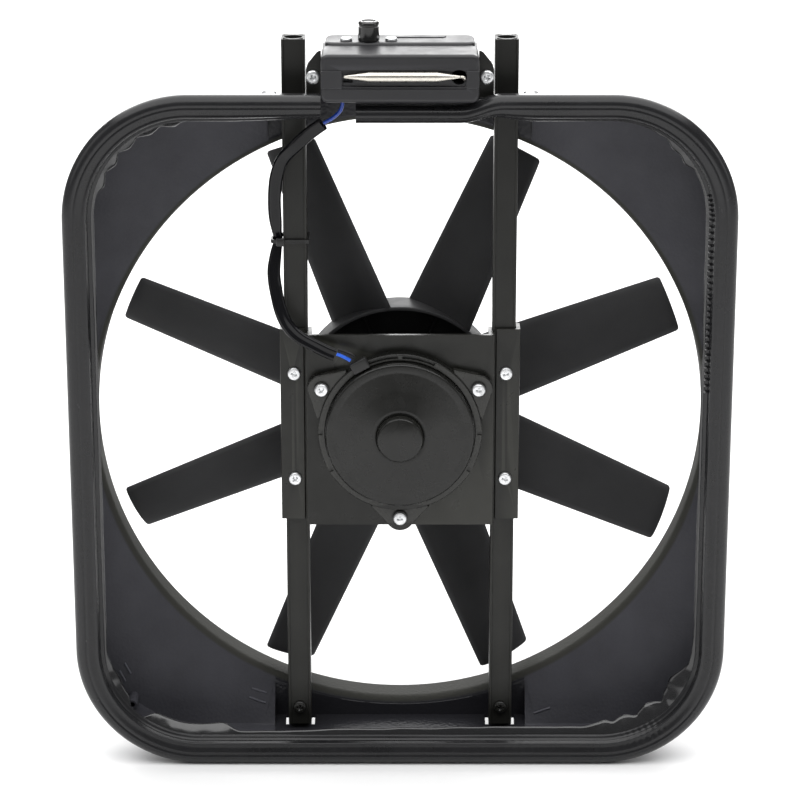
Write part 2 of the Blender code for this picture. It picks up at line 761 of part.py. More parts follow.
def build_mounting_ring():
    """The cast ring round the motor's front end, with three screw ears."""
    disc = circle((0.0, 0.0), FLANGE_RING_RADIUS, 40)
    mesh = prism_mesh("mounting_ring", [disc], FLANGE_RING_FRONT, FLANGE_RING_BACK, "Y")
    ring = add_part("mounting_ring", mesh, ENAMEL)
    for number, angle in enumerate(EAR_ANGLES):
        x = math.cos(math.radians(angle))
        z = math.sin(math.radians(angle))
        across = (-z, x)
        outline = [(x * EAR_FOOT + across[0] * EAR_SPREAD, z * EAR_FOOT + across[1] * EAR_SPREAD)]
        start = angle + 62.0
        tips = arc((EAR_RADIUS * x, EAR_RADIUS * z), EAR_ROUND, start, start - 124.0, 6)
        outline += tips
        outline.append((x * EAR_FOOT - across[0] * EAR_SPREAD, z * EAR_FOOT - across[1] * EAR_SPREAD))
        low = FLANGE_RING_FRONT + EAR_STEP
        high = FLANGE_RING_BACK - 0.6
        ear = prism_mesh("motor_ear_%d" % number, [outline], low, high, "Y")
        combine(ring, add_cutter("motor_ear_%d" % number, ear), "UNION")
        cut = rod_mesh(
            "ear_hole_%d" % number, 2.3, (EAR_RADIUS * x, 15.0, EAR_RADIUS * z),
            (EAR_RADIUS * x, 35.0, EAR_RADIUS * z),
        )
        combine(ring, add_cutter("ear_hole_%d" % number, cut))
    bore = rod_mesh(
        "ring_bore", CAN_RADIUS + 0.35, (0.0, 15.0, 0.0), (0.0, 35.0, 0.0), segments=36
    )
    combine(ring, add_cutter("ring_bore", bore))
    for number, angle in enumerate(EAR_ANGLES):
        x = EAR_RADIUS * math.cos(math.radians(angle))
        z = EAR_RADIUS * math.sin(math.radians(angle))
        back = FLANGE_RING_FRONT + EAR_STEP - GAP
        front = back - WASHER_THICKNESS
        turned("motor_washer_%d" % (number + 1), [
            (WASHER_RADIUS, front), (WASHER_RADIUS, back), (WASHER_BORE, back), (WASHER_BORE, front),
        ], ENAMEL, steps=16, at=(x, 0.0, z))
        seat = (x, front - GAP, z)
        pan_head_screw("motor_screw_%d" % (number + 1), seat, 4.4, 2.6, 1.95, 19.0, ZINC)


def build_motor_inside():
    turned("front_bush", [
        (11.0, BOSS_FRONT + 2.4), (11.0, COVER_FRONT + 2.2), (BUSH_BORE, COVER_FRONT + 2.2),
        (BUSH_BORE, BOSS_FRONT + 2.4),
    ], BRONZE, steps=20)
    turned("rear_bush", [
        (10.9, CAN_BACK - 6.0), (10.9, CAN_BACK + 1.9), (BUSH_BORE, CAN_BACK + 1.9),
        (BUSH_BORE, CAN_BACK - 6.0),
    ], BRONZE, steps=20)
    for label, middle in (("left", 180.0), ("right", 0.0)):
        outline = arc((0.0, 0.0), CAN_RADIUS - 2.4, middle - 62.0, middle + 62.0, 12)
        outline += arc((0.0, 0.0), 31.6, middle + 62.0, middle - 62.0, 12)
        mesh = prism_mesh("magnet_" + label, [outline], 34.0, 70.0, "Y")
        add_part("magnet_" + label, mesh, FERRITE)
    holder = [circle((0.0, 0.0), CAN_RADIUS - 2.4, 24), circle((0.0, 0.0), 14.5, 16)]
    mesh = prism_mesh("brush_holder", holder, 29.3, 31.3, "Y")
    add_part("brush_holder", mesh, BRONZE)
    for label, side in (("left", -1), ("right", 1)):
        edges = sorted((10.9 * side, 24.0 * side))
        mesh = box_mesh("brush_" + label, (edges[0], 21.6, -3.2), (edges[1], 28.9, 3.2))
        add_part("brush_" + label, mesh, CARBON)


def build_rotor(spin):
    """Everything that turns with the shaft; the spin empty lies on the fan axis."""
    turned("shaft", [
        (0.0, SHAFT_FRONT), (SHAFT_RADIUS - 0.5, SHAFT_FRONT), (SHAFT_RADIUS, SHAFT_FRONT + 0.5),
        (SHAFT_RADIUS, SHAFT_END - 0.5), (SHAFT_RADIUS - 0.5, SHAFT_END), (0.0, SHAFT_END),
    ], STEEL, steps=20, parent=spin)
    outline = []
    slots = 12
    for i in range(slots):
        base = 360.0 * i / slots
        outline += arc((0.0, 0.0), CORE_RADIUS, base + 4.0, base + 26.0, 2)
        outline += arc((0.0, 0.0), 19.0, base + 24.0, base + 36.0, 1)
    loops = [outline, circle((0.0, 0.0), SHAFT_RADIUS + GAP, 16)]
    mesh = prism_mesh("armature_core", loops, CORE_FRONT, CORE_BACK, "Y")
    add_part("armature_core", mesh, STEEL, parent=spin)
    for label, low, high in (
        ("front", CORE_FRONT - GAP - 3.8, CORE_FRONT - GAP),
        ("rear", CORE_BACK + GAP, CORE_BACK + GAP + 6.5),
    ):
        turned("winding_" + label, [
            (27.0, high), (28.5, (low + high) / 2), (26.0, low), (13.0, low), (10.5, (low + high) / 2),
            (10.5, high),
        ], COPPER, steps=24, parent=spin)
    turned("commutator", [
        (10.4, 20.0), (10.4, 31.2), (SHAFT_RADIUS + GAP, 31.2), (SHAFT_RADIUS + GAP, 20.0),
    ], COPPER, steps=16, parent=spin)
    build_fan(spin)
    turned("hub_washer", [
        (8.5, HUB_BACK + GAP), (8.5, HUB_BACK + GAP + 1.2), (SHAFT_RADIUS + GAP, HUB_BACK + GAP + 1.2),
        (SHAFT_RADIUS + GAP, HUB_BACK + GAP),
    ], ZINC, steps=16, parent=spin)
    nut_front = HUB_BACK + 2 * GAP + 1.2
    loops = [circle((0.0, 0.0), 7.4, 6), circle((0.0, 0.0), SHAFT_RADIUS + GAP, 16)]
    mesh = prism_mesh("hub_nut", loops, nut_front, nut_front + 4.4, "Y")
    add_part("hub_nut", mesh, ZINC, parent=spin)


def blade_edges(radius):
    """Angles in degrees and depths of the leading and trailing edge at a radius."""
    t = (radius - HUB_RADIUS) / (TIP_RADIUS - HUB_RADIUS)
    root_lead = (HUB_RADIUS * math.cos(math.radians(-17.0)), HUB_RADIUS * math.sin(math.radians(-17.0)))
    root_trail = (HUB_RADIUS * math.cos(math.radians(18.0)), HUB_RADIUS * math.sin(math.radians(18.0)))
    tip_lead = (TIP_RADIUS * math.cos(math.radians(-5.2)), TIP_RADIUS * math.sin(math.radians(-5.2)))
    tip_trail = (TIP_RADIUS * math.cos(math.radians(5.1)), TIP_RADIUS * math.sin(math.radians(5.1)))
    lead = math.degrees(math.atan2(
        root_lead[1] + (tip_lead[1] - root_lead[1]) * t, root_lead[0] + (tip_lead[0] - root_lead[0]) * t
    ))
    trail = math.degrees(math.atan2(
        root_trail[1] + (tip_trail[1] - root_trail[1]) * t,
        root_trail[0] + (tip_trail[0] - root_trail[0]) * t,
    ))
    lead_depth = 70.6 + (71.7 - 70.6) * t
    trail_depth = 94.5 + (87.5 - 94.5) * t
    return lead, trail, lead_depth, trail_depth


def blade_rows():
    """Closed sections of one blade at growing radius, its corners rounded at the tip."""
    stations = [(HUB_RADIUS - 1.3, 0.0), (110.0, 0.0), (150.0, 0.0)]
    corner = 2.4
    for angle in (0.0, 45.0, 85.0):
        rise = corner * math.sin(math.radians(angle))
        inset = corner * (1.0 - math.cos(math.radians(angle)))
        stations.append((TIP_RADIUS - corner + rise, inset))
    rows = []
    across = 4
    for radius, inset in stations:
        lead, trail, lead_depth, trail_depth = blade_edges(radius)
        margin = math.degrees(inset / radius)
        slope = (trail_depth - lead_depth) / (trail - lead)
        lead += margin
        trail -= margin
        lead_depth += slope * margin
        trail_depth -= slope * margin
        thickness = 2.6 - 0.9 * (radius - HUB_RADIUS) / (TIP_RADIUS - HUB_RADIUS)
        front = []
        back = []
        for i in range(across + 1):
            t = i / across
            angle = math.radians(lead + (trail - lead) * t + FIRST_BLADE_ANGLE)
            camber = -2.2 * 4.0 * t * (1.0 - t)
            depth = lead_depth + (trail_depth - lead_depth) * t + camber
            half = thickness / 2 * (0.45 + 0.55 * math.sin(math.pi * min(1.0, t * 1.15 + 0.12)))
            x = radius * math.cos(angle)
            z = radius * math.sin(angle)
            front.append((x, depth - half, z))
            back.append((x, depth + half, z))
        rows.append(front + back[::-1])
    return rows


def build_fan(spin):
    fan = turned("fan", [
        (HUB_RADIUS, HUB_FRONT), (HUB_RADIUS, HUB_BACK - 2.5), (HUB_RADIUS - 2.5, HUB_BACK),
        (SHAFT_RADIUS + GAP, HUB_BACK), (SHAFT_RADIUS + GAP, HUB_BACK - 8.5), (10.0, HUB_BACK - 8.5),
        (10.0, HUB_BACK - 3.0), (HUB_RADIUS - 4.0, HUB_BACK - 3.0),
        (HUB_RADIUS - HUB_WALL, HUB_BACK - 4.4), (HUB_RADIUS - HUB_WALL, HUB_FRONT),
    ], BLADE_PLASTIC, steps=40, parent=spin)
    bm = bmesh.new()
    blade = loft_mesh("blade", blade_rows())
    for i in range(BLADE_COUNT):
        copy = blade.copy()
        copy.transform(Matrix.Rotation(-2.0 * math.pi * i / BLADE_COUNT, 4, "Y"))
        bm.from_mesh(copy)
        bpy.data.meshes.remove(copy)
    bpy.data.meshes.remove(blade)
    tool = add_cutter("blades", mesh_from(bm, "blades"), parent=spin)
    combine(fan, tool, "UNION")


# ==== Controller =======================================================================
def build_controller():
    base = add_part(
        "controller_base",
        box_mesh(
            "controller_base",
            (-BOX_HALF_WIDTH, BOX_FRONT, BOX_BOTTOM),
            (BOX_HALF_WIDTH, BOX_BACK, BOX_TOP),
        ),
        CASE_PLASTIC,
    )
    bevel(base, 3.0, 2)
    seat = box_mesh("lid_seat", (-60.0, LID_FRONT, LID_SEAT), (60.0, 70.0, 260.0))
    combine(base, add_cutter("lid_seat", seat))
    inside = BOX_HALF_WIDTH - BOX_WALL
    cavity = box_mesh(
        "box_cavity",
        (-inside, 6.0, BOX_BOTTOM + BOX_WALL),
        (inside, BOX_BACK - BOX_WALL, LID_SEAT - 0.1),
    )
    combine(base, add_cutter("box_cavity", cavity))
    mouth = box_mesh("box_mouth", (-44.0, LID_FRONT + 2.0, 235.0), (44.0, BOX_BACK - 4.5, 256.0))
    combine(base, add_cutter("box_mouth", mouth))
    groove = box_mesh("bulb_groove", (-35.2, -9.0, 233.4), (37.5, 2.2, 241.2))
    combine(base, add_cutter("bulb_groove", groove))
    port = rod_mesh("capillary_port", 4.8, (36.2, -9.0, 237.0), (36.2, 8.0, 237.0), segments=24)
    combine(base, add_cutter("capillary_port", port))
    outlet = rod_mesh("lead_outlet", 4.6, (-35.5, 8.6, 215.0), (-35.5, 8.6, 228.0), segments=20)
    combine(base, add_cutter("lead_outlet", outlet))

    front = LID_FRONT + GAP
    back = BOX_BACK - 0.4
    corner = BOX_BACK - 5.0
    lid_outline = [
        (-LID_HALF_WIDTH, front), (LID_HALF_WIDTH, front), (LID_HALF_WIDTH, corner),
        (LID_HALF_WIDTH - 3.4, back), (-LID_HALF_WIDTH + 3.4, back), (-LID_HALF_WIDTH, corner),
    ]
    mesh = prism_mesh("controller_lid", [lid_outline], LID_SEAT + GAP, LID_TOP, "Z")
    lid = add_part("controller_lid", mesh, CASE_PLASTIC)
    bevel(lid, 1.2, 2)
    holes = [(SPINDLE_X, 3.6)]
    holes += [(SPINDLE_X + LID_SCREW_SPACING / 2 * side, 2.2) for side in (-1, 1)]
    for number, (x, radius) in enumerate(holes):
        low = (x, SPINDLE_Y, 240.0)
        high = (x, SPINDLE_Y, 260.0)
        cut = rod_mesh("lid_hole_%d" % number, radius, low, high, segments=20)
        combine(lid, add_cutter("lid_hole_%d" % number, cut))
    for number, side in enumerate((-1, 1)):
        x = SPINDLE_X + LID_SCREW_SPACING / 2 * side
        seat = (x, SPINDLE_Y, LID_TOP + HEAD_SEAT)
        pan_head_screw("lid_screw_%d" % (number + 1), seat, 3.9, 2.2, 1.8, 6.6, ZINC, facing="-Z")
    build_bracket()
    build_thermostat()


def build_bracket():
    """The black steel tray under the controller, with an ear folded up on each side."""
    tray_top = BOX_BOTTOM - GAP
    tray = box_mesh(
        "controller_bracket",
        (-EAR_HALF_WIDTH, EAR_PLATE_FRONT, TRAY_BOTTOM),
        (EAR_HALF_WIDTH, TRAY_BACK, tray_top),
    )
    bracket = add_part("controller_bracket", tray, ENAMEL)
    for label, side in (("left", -1), ("right", 1)):
        inner = BOX_HALF_WIDTH + GAP
        outline = [
            (inner, TRAY_BOTTOM), (EAR_HALF_WIDTH, TRAY_BOTTOM), (EAR_HALF_WIDTH, 238.6), (57.6, 240.6),
            (50.6, 248.8), (inner, 249.4),
        ]
        outline = [(x * side, z) for x, z in outline]
        ear = prism_mesh("bracket_ear_" + label, [outline], EAR_PLATE_FRONT, EAR_PLATE_BACK, "Y")
        combine(bracket, add_cutter("bracket_ear_" + label, ear), "UNION")
        x = EAR_SCREW_X * side
        cut = rod_mesh("bracket_hole_" + label, 2.2, (x, 12.0, EAR_SCREW_Z), (x, 30.0, EAR_SCREW_Z))
        combine(bracket, add_cutter("bracket_hole_" + label, cut))
        edges = sorted((50.2 * side, (EAR_HALF_WIDTH + 1.0) * side))
        pocket = box_mesh(
            "post_window_" + label,
            (edges[0], EAR_PLATE_BACK + 0.05, 210.0),
            (edges[1], 36.4, 224.0),
        )
        combine(bracket, add_cutter("post_window_" + label, pocket))
        seat = (x, EAR_PLATE_FRONT - HEAD_SEAT, EAR_SCREW_Z)
        pan_head_screw("bracket_screw_" + label, seat, 4.1, 2.5, 1.6, 13.5, ZINC)


def build_thermostat():
    body = box_mesh("thermostat_body", (-36.0, 24.0, 225.0), (-3.0, 46.0, LID_SEAT - 0.8))
    body = add_part("thermostat_body", body, NICKEL)
    for number, side in enumerate((-1, 0, 1)):
        x = SPINDLE_X + LID_SCREW_SPACING / 2 * side
        radius = 3.3 if side == 0 else 2.1
        low = (x, SPINDLE_Y, 241.0)
        high = (x, SPINDLE_Y, 250.0)
        cut = rod_mesh("body_hole_%d" % number, radius, low, high, segments=20)
        combine(body, add_cutter("body_hole_%d" % number, cut))

    dial = bpy.data.objects.new("dial_axis", None)
    dial.parent = ASSEMBLY
    dial.location = Vector((SPINDLE_X, SPINDLE_Y, 0.0)) * MM
    PARTS.objects.link(dial)
    turned("thermostat_spindle", [
        (0.0, 241.4), (3.0, 241.4), (3.0, KNOB_TOP - 4.0), (0.0, KNOB_TOP - 4.0),
    ], STEEL, steps=20, parent=dial, axis="Z")
    turned("thermostat_knob", [
        (KNOB_RADIUS, KNOB_BOTTOM), (KNOB_RADIUS, KNOB_TOP - 0.8), (KNOB_RADIUS - 0.8, KNOB_TOP),
        (KNOB_RADIUS - 1.8, KNOB_TOP), (KNOB_RADIUS - 2.6, KNOB_TOP - 0.9), (0.0, KNOB_TOP - 0.9),
        (0.0, KNOB_TOP - 3.7), (3.3, KNOB_TOP - 3.7), (3.3, KNOB_BOTTOM),
    ], KNOB_PLASTIC, steps=20, parent=dial, axis="Z")

    add_part("relay", box_mesh("relay", (8.0, 24.0, 225.0), (32.0, 46.0, 244.0)), BLACK_PVC)
    block = box_mesh("terminal_block", (-44.0, 12.0, 224.0), (-30.0, 22.0, 236.0))
    add_part("terminal_block", block, CASE_PLASTIC)

    taper = 15.0
    left = -34.6
    right = 37.1
    bulb_profile = [
        (0.0, left), (0.9, left), (BULB_RADIUS, left + taper), (BULB_RADIUS, right - taper + 1.5),
        (0.9, right), (0.0, right),
    ]
    bulb = turned("sensing_bulb", bulb_profile, NICKEL, steps=16, at=(0.0, BULB_Y, BULB_Z), axis="Z")
    bulb.rotation_euler = (0.0, math.pi / 2, 0.0)
    wire("capillary_tube", [
        (37.4, BULB_Y, BULB_Z), (38.6, BULB_Y, BULB_Z), (39.7, -4.7, 236.7), (39.4, -2.6, 235.4),
        (37.8, 1.0, 235.0), (36.4, 8.0, 234.6), (33.0, 13.5, 232.5), (24.0, 18.0, 231.0),
        (10.0, 20.6, 231.0), (2.0, 28.0, 231.0), (-2.5, 33.0, 231.0),
    ], 0.8, NICKEL, 1.8)


# ==== Harness ==========================================================================
SLEEVE_ROUTE = (
    (-48.2, 13.0, 204.4),
    (-57.0, 17.0, 197.2),
    (-66.0, 20.0, 188.3),
    (-73.8, 25.0, 178.9),
    (-77.8, 29.0, 167.6),
    (-79.4, 33.0, 155.1),
    (-79.6, 37.0, 142.4),
    (-78.6, 40.5, 129.7),
    (-77.7, 41.5, TIE_Z),
    (-79.2, 40.0, 115.4),
    (-80.6, 36.0, 103.3),
    (-79.2, 31.0, 92.7),
    (-76.6, 27.0, 81.9),
    (-73.1, 25.0, 73.2),
    (-68.6, 24.0, 67.2),
    (-63.5, 23.0, 63.1),
    (-56.5, 21.5, 59.6),
    (-46.9, 20.0, 55.0),
    (-41.5, 19.5, 52.9),
)


def sleeve_mesh(name):
    """A flattened sleeve along its route, drawn in narrower where the tie grips it."""
    points = smooth_route(SLEEVE_ROUTE, SLEEVE_SPACING)
    rows = []
    for i, point in enumerate(points):
        along = (points[min(i + 1, len(points) - 1)] - points[max(i - 1, 0)]).normalized()
        across = along.cross(Vector((0.0, 1.0, 0.0))).normalized()
        through = across.cross(along)
        grip = math.exp(-((point.z - TIE_Z) / TIE_REACH) ** 2)
        half_width = SLEEVE_HALF_WIDTH + (SLEEVE_TIED - SLEEVE_HALF_WIDTH) * grip
        half_depth = SLEEVE_HALF_DEPTH + (SLEEVE_TIED - SLEEVE_HALF_DEPTH) * grip
        rows.append([
            point + across * a * half_width + through * b * half_depth
            for a, b in circle((0.0, 0.0), 1.0, SLEEVE_SIDES)
        ])
    return loft_mesh(name, rows)


def build_harness():
    add_part("harness_sleeve", sleeve_mesh("harness_sleeve"), BLACK_PVC)
    wire("controller_lead_blue", [
        (-35.5, 8.6, 224.0), (-35.6, 8.8, 218.0), (-37.2, 9.4, 213.4), (-41.4, 10.8, 209.0),
        (-47.4, 12.7, 205.1),
    ], WIRE_RADIUS, BLUE_PVC, LEAD_SPACING)
    wire("motor_lead_blue", [
        (-40.4, 19.4, 53.6), (-36.8, 19.0, 52.2), (-33.6, 18.6, 50.6), (-31.6, 18.4, 49.4),
    ], WIRE_RADIUS, BLUE_PVC, LEAD_SPACING)
    wire("motor_lead_black", [
        (-39.4, 19.2, 56.2), (-35.6, 18.8, 55.0), (-31.6, 18.4, 53.4), (-28.9, 18.2, 51.8),
    ], WIRE_RADIUS, BLACK_PVC, LEAD_SPACING)
    mesh = box_mesh("lead_grommet", (-6.6, 14.6, -4.6), (6.6, FLANGE_RING_FRONT - GAP, 3.4))
    grommet = add_part("lead_grommet", mesh, BLACK_PVC)
    angle = math.radians(GROMMET_ANGLE)
    seat = Vector((math.cos(angle), 0.0, math.sin(angle))) * GROMMET_RADIUS
    grommet.location = seat * MM
    grommet.rotation_euler = (0.0, math.radians(90.0 - GROMMET_ANGLE), 0.0)
    bevel(grommet, 1.0, 2)
    build_cable_tie()


def build_cable_tie():
    """A nylon tie round the left rail and the sleeve, with its locking head in front."""
    right = -RAIL_X + RAIL_WIDTH / 2 + GAP
    rail_left = -RAIL_X - RAIL_WIDTH / 2 - GAP
    left = TIE_SLEEVE_X - SLEEVE_TIED - GAP
    front = RAIL_FRONT - GAP
    back = RAIL_BACK + GAP

    def loop(grow):
        return [
            (right + grow, front - grow), (right + grow, back + grow), (rail_left - grow, back + grow),
            (left - grow, back - 9.0), (left - grow, front + 1.0), (left + 1.6, front - grow),
        ]

    mesh = prism_mesh("cable_tie", [loop(STRAP), loop(0.0)], TIE_Z - 1.8, TIE_Z + 1.8, "Z")
    tie = add_part("cable_tie", mesh, BLACK_PVC)
    low = (-77.6, front - STRAP - 3.2, TIE_Z - 3.0)
    high = (-71.6, front - 0.4, TIE_Z + 3.0)
    head = box_mesh("tie_head", low, high)
    combine(tie, add_cutter("tie_head", head), "UNION")


# ==== Assembly =========================================================================
def build():
    build_shroud()
    build_seal()
    for label, side in (("left", -1), ("right", 1)):
        build_rail(label, side)
    build_motor_plate()
    build_motor_case()
    build_motor_inside()
    spin = bpy.data.objects.new("fan_axis", None)
    spin.parent = ASSEMBLY
    PARTS.objects.link(spin)
    build_rotor(spin)
    build_controller()
    build_harness()


build()
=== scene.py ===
import math

import bmesh
import bpy
from mathutils import Matrix, Vector, noise
from mathutils.bvhtree import BVHTree


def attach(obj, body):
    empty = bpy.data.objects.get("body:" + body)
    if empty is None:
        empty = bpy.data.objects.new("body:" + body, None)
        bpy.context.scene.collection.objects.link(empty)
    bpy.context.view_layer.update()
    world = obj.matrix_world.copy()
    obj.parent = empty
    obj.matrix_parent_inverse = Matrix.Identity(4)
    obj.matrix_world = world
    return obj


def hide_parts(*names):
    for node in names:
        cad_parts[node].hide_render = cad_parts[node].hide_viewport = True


# Lengths are in millimetres in the fan's own frame: the fan axis is x = 0, z = 0, y = 0 is the
# front plane of the rim seal, and the air flows along +Y.  ORIGIN moves that frame into the model.
MM = 0.001
ORIGIN = Vector((0.0, -48.3, 224.2)) * MM

SEAL_HALF_WIDTH = 211.75
SEAL_HALF_HEIGHT = 224.2
SEAL_CORNER = 80.0
SEAL_COVER = 3.0
WALL = 2.5
WALL_FRONT = 3.5
WALL_STRAIGHT = 14.0
FUNNEL_START = 44.0
PLATE_FRONT = 56.0
RING_BACK = 78.0
RING_RADIUS = 199.0
FLARE_RADIUS = 203.5
DRAFT_HEIGHT = 0.176
DRAFT_WIDTH = 0.075
RECESS_HALF_WIDTH = 84.0
RECESS_DEPTH = 183.0

RAIL_X = 67.0
RAIL_WIDTH = 15.0
RAIL_FRONT = 37.7
RAIL_BACK = 55.7
RAIL_TOP = 253.0
RAIL_FOOT = -210.4
PLATE_SCREW = (68.3, 35.7)
FLANGE_FRONT = 35.5
PANEL_FRONT = 30.0

EAR_RADIUS = 58.2
EAR_ANGLES = (30.0, 150.0, 270.0)
RING_FRONT = 21.0
COVER_FRONT = 14.7
COVER_CROWN = 10.5
BOSS_RADIUS = 14.8
BOSS_BASE = 11.2
BOSS_FRONT = 4.5

HUB_RADIUS = 70.5
HUB_FRONT = 69.5
HUB_BACK = 98.0
TIP_RADIUS = 191.0
FIRST_BLADE_ANGLE = 21.9
BLADE_COUNT = 8

BOX_HALF_WIDTH = 48.7
BOX_FRONT = -4.0
BOX_BACK = 58.0
BOX_BOTTOM = 221.0
BOX_TOP = 251.0
LID_FRONT = 27.4
LID_TOP = 252.6
LID_SEAT = 247.6
SPINDLE = (-19.5, 35.0)
BULB = (-5.0, 237.6)
BULB_LEFT = -34.6
BULB_RIGHT = 37.1
TIE_Z = 123.0
BRACKET_SCREW = (54.0, 232.6)
LID_SCREW_REACH = 14.0
SCREW_BORE = 2.3
FOOT_SCREW_Z = -198.0

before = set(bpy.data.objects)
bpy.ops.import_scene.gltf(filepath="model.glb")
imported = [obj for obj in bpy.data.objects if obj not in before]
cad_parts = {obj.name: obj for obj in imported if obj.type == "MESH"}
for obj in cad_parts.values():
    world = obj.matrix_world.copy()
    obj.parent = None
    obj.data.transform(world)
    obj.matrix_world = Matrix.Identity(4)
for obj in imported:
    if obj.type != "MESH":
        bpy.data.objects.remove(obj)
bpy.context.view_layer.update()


# ==== Shapes ====
def arc(centre, radius, start, end, steps):
    """Points of an arc in a plane, its angles in degrees."""
    points = []
    for i in range(steps + 1):
        angle = math.radians(start + (end - start) * i / steps)
        points.append((centre[0] + radius * math.cos(angle), centre[1] + radius * math.sin(angle)))
    return points


def circle(centre, radius, steps):
    return arc(centre, radius, 0.0, 360.0, steps)[:-1]


def filleted(points, radius, steps=4):
    """A closed outline with each of its corners rounded by up to a radius."""
    result = []
    count = len(points)
    for i, point in enumerate(points):
        here = Vector(point)
        back = Vector(points[i - 1]) - here
        ahead = Vector(points[(i + 1) % count]) - here
        reach = min(radius, back.length * 0.45, ahead.length * 0.45)
        start = here + back.normalized() * reach
        end = here + ahead.normalized() * reach
        for step in range(steps + 1):
            t = step / steps
            result.append(tuple(start * (1 - t) ** 2 + here * 2 * t * (1 - t) + end * t * t))
    return result


def loft(rows):
    """Skin rows of points, each row closed on its own first point, and cap both ends."""
    bm = bmesh.new()
    rings = [[bm.verts.new(point) for point in row] for row in rows]
    for ring, following in zip(rings, rings[1:]):
        for i in range(len(ring)):
            j = (i + 1) % len(ring)
            bm.faces.new((ring[i], ring[j], following[j], following[i]))
    bm.faces.new(rings[0][::-1])
    bm.faces.new(rings[-1])
    return bm


def moved(shape, offset):
    shape.transform(Matrix.Translation(offset))
    return shape


def turned(shape, degrees, axis="Y"):
    shape.transform(Matrix.Rotation(math.radians(degrees), 4, axis))
    return shape


def lathe(profile, steps, at=(0.0, 0.0, 0.0), axis="Y"):
    """Turn a closed outline of (radius, distance along the axis) about Y, Z or X."""
    bm = bmesh.new()
    rings = []
    for radius, along in profile:
        if radius < 0.001:
            rings.append([bm.verts.new((0.0, along, 0.0))])
            continue
        ring = []
        for i in range(steps):
            angle = 2.0 * math.pi * i / steps
            ring.append(bm.verts.new((radius * math.cos(angle), along, radius * math.sin(angle))))
        rings.append(ring)
    for ring, following in zip(rings, rings[1:] + rings[:1]):
        for i in range(steps):
            j = (i + 1) % steps
            corners = [ring[i % len(ring)], ring[j % len(ring)]]
            corners += [following[j % len(following)], following[i % len(following)]]
            unique = list(dict.fromkeys(corners))
            if len(unique) > 2:
                bm.faces.new(unique)
    if axis == "Z":
        turned(bm, 90.0, "X")
    if axis == "X":
        turned(bm, -90.0, "Z")
    return moved(bm, at)


def prism(outlines, low, high, axis, edge=0.0, steps=3):
    """Extrude flat outlines along an axis, with edges rounded by a curve bevel.

    Along Y the outlines hold (x, z), along Z they hold (x, y), along X they hold (y, z).
    """
    curve = bpy.data.curves.new("outline", "CURVE")
    curve.dimensions = "2D"
    curve.fill_mode = "BOTH"
    curve.extrude = (high - low) / 2 - edge
    curve.bevel_depth = edge
    curve.bevel_resolution = steps
    curve.offset = -edge
    for outline in outlines:
        spline = curve.splines.new("POLY")
        spline.points.add(len(outline) - 1)
        spline.use_cyclic_u = True
        for point, (a, b) in zip(spline.points, outline):
            point.co = (a, b, 0.0, 1.0)
    guide = bpy.data.objects.new("outline", curve)
    bpy.context.scene.collection.objects.link(guide)
    graph = bpy.context.evaluated_depsgraph_get()
    mesh = bpy.data.meshes.new_from_object(guide.evaluated_get(graph))
    bpy.data.objects.remove(guide, do_unlink=True)
    bm = bmesh.new()
    bm.from_mesh(mesh)
    bpy.data.meshes.remove(mesh)
    bmesh.ops.remove_doubles(bm, verts=bm.verts, dist=0.0005)
    middle = (low + high) / 2
    if axis == "Y":
        bm.transform(Matrix(((1, 0, 0, 0), (0, 0, -1, middle), (0, 1, 0, 0), (0, 0, 0, 1))))
    elif axis == "X":
        bm.transform(Matrix(((0, 0, 1, middle), (1, 0, 0, 0), (0, 1, 0, 0), (0, 0, 0, 1))))
    else:
        bm.transform(Matrix.Translation((0.0, 0.0, middle)))
    return bm


def block(low, high, edge=0.0, steps=3):
    """A box between two corners with rounded edges."""
    bm = bmesh.new()
    bmesh.ops.create_cube(bm, size=1.0)
    bmesh.ops.scale(bm, vec=Vector(high) - Vector(low), verts=bm.verts)
    bmesh.ops.translate(bm, vec=(Vector(high) + Vector(low)) / 2, verts=bm.verts)
    if edge:
        bmesh.ops.bevel(bm, geom=bm.edges[:], offset=edge, segments=steps, profile=0.5, affect="EDGES")
    return bm


def rod(radius, start, end, sides=32):
    """A plain rod between two points, used to cut holes and to add posts."""
    start = Vector(start)
    run = Vector(end) - start
    bm = bmesh.new()
    bmesh.ops.create_cone(
        bm, cap_ends=True, segments=sides, radius1=radius, radius2=radius, depth=run.length
    )
    turn = Vector((0.0, 0.0, 1.0)).rotation_difference(run).to_matrix().to_4x4()
    bm.transform(Matrix.Translation((start + Vector(end)) / 2) @ turn)
    return bm


def bore(radius, x, z, front, back, sides=20):
    """A rod along the fan's axis."""
    return rod(radius, (x, front, z), (x, back, z), sides)


def smooth_route(points, spacing):
    """Evenly spaced points on a smooth curve through the route's points."""
    knots = [Vector(p) for p in points]
    knots = [2 * knots[0] - knots[1]] + knots + [2 * knots[-1] - knots[-2]]
    dense = []
    for i in range(1, len(knots) - 2):
        before, start, end, after = knots[i - 1:i + 3]
        for step in range(24):
            t = step / 24
            dense.append(0.5 * (
                2 * start
                + (end - before) * t
                + (2 * before - 5 * start + 4 * end - after) * t * t
                + (3 * start - before - 3 * end + after) * t * t * t
            ))
    dense.append(knots[-2])
    length = sum((b - a).length for a, b in zip(dense, dense[1:]))
    count = max(2, round(length / spacing))
    result = [dense[0]]
    travelled = 0.0
    for a, b in zip(dense, dense[1:]):
        travelled += (b - a).length
        while len(result) < count and travelled >= length * len(result) / count:
            result.append(b)
    result.append(dense[-1])
    return result


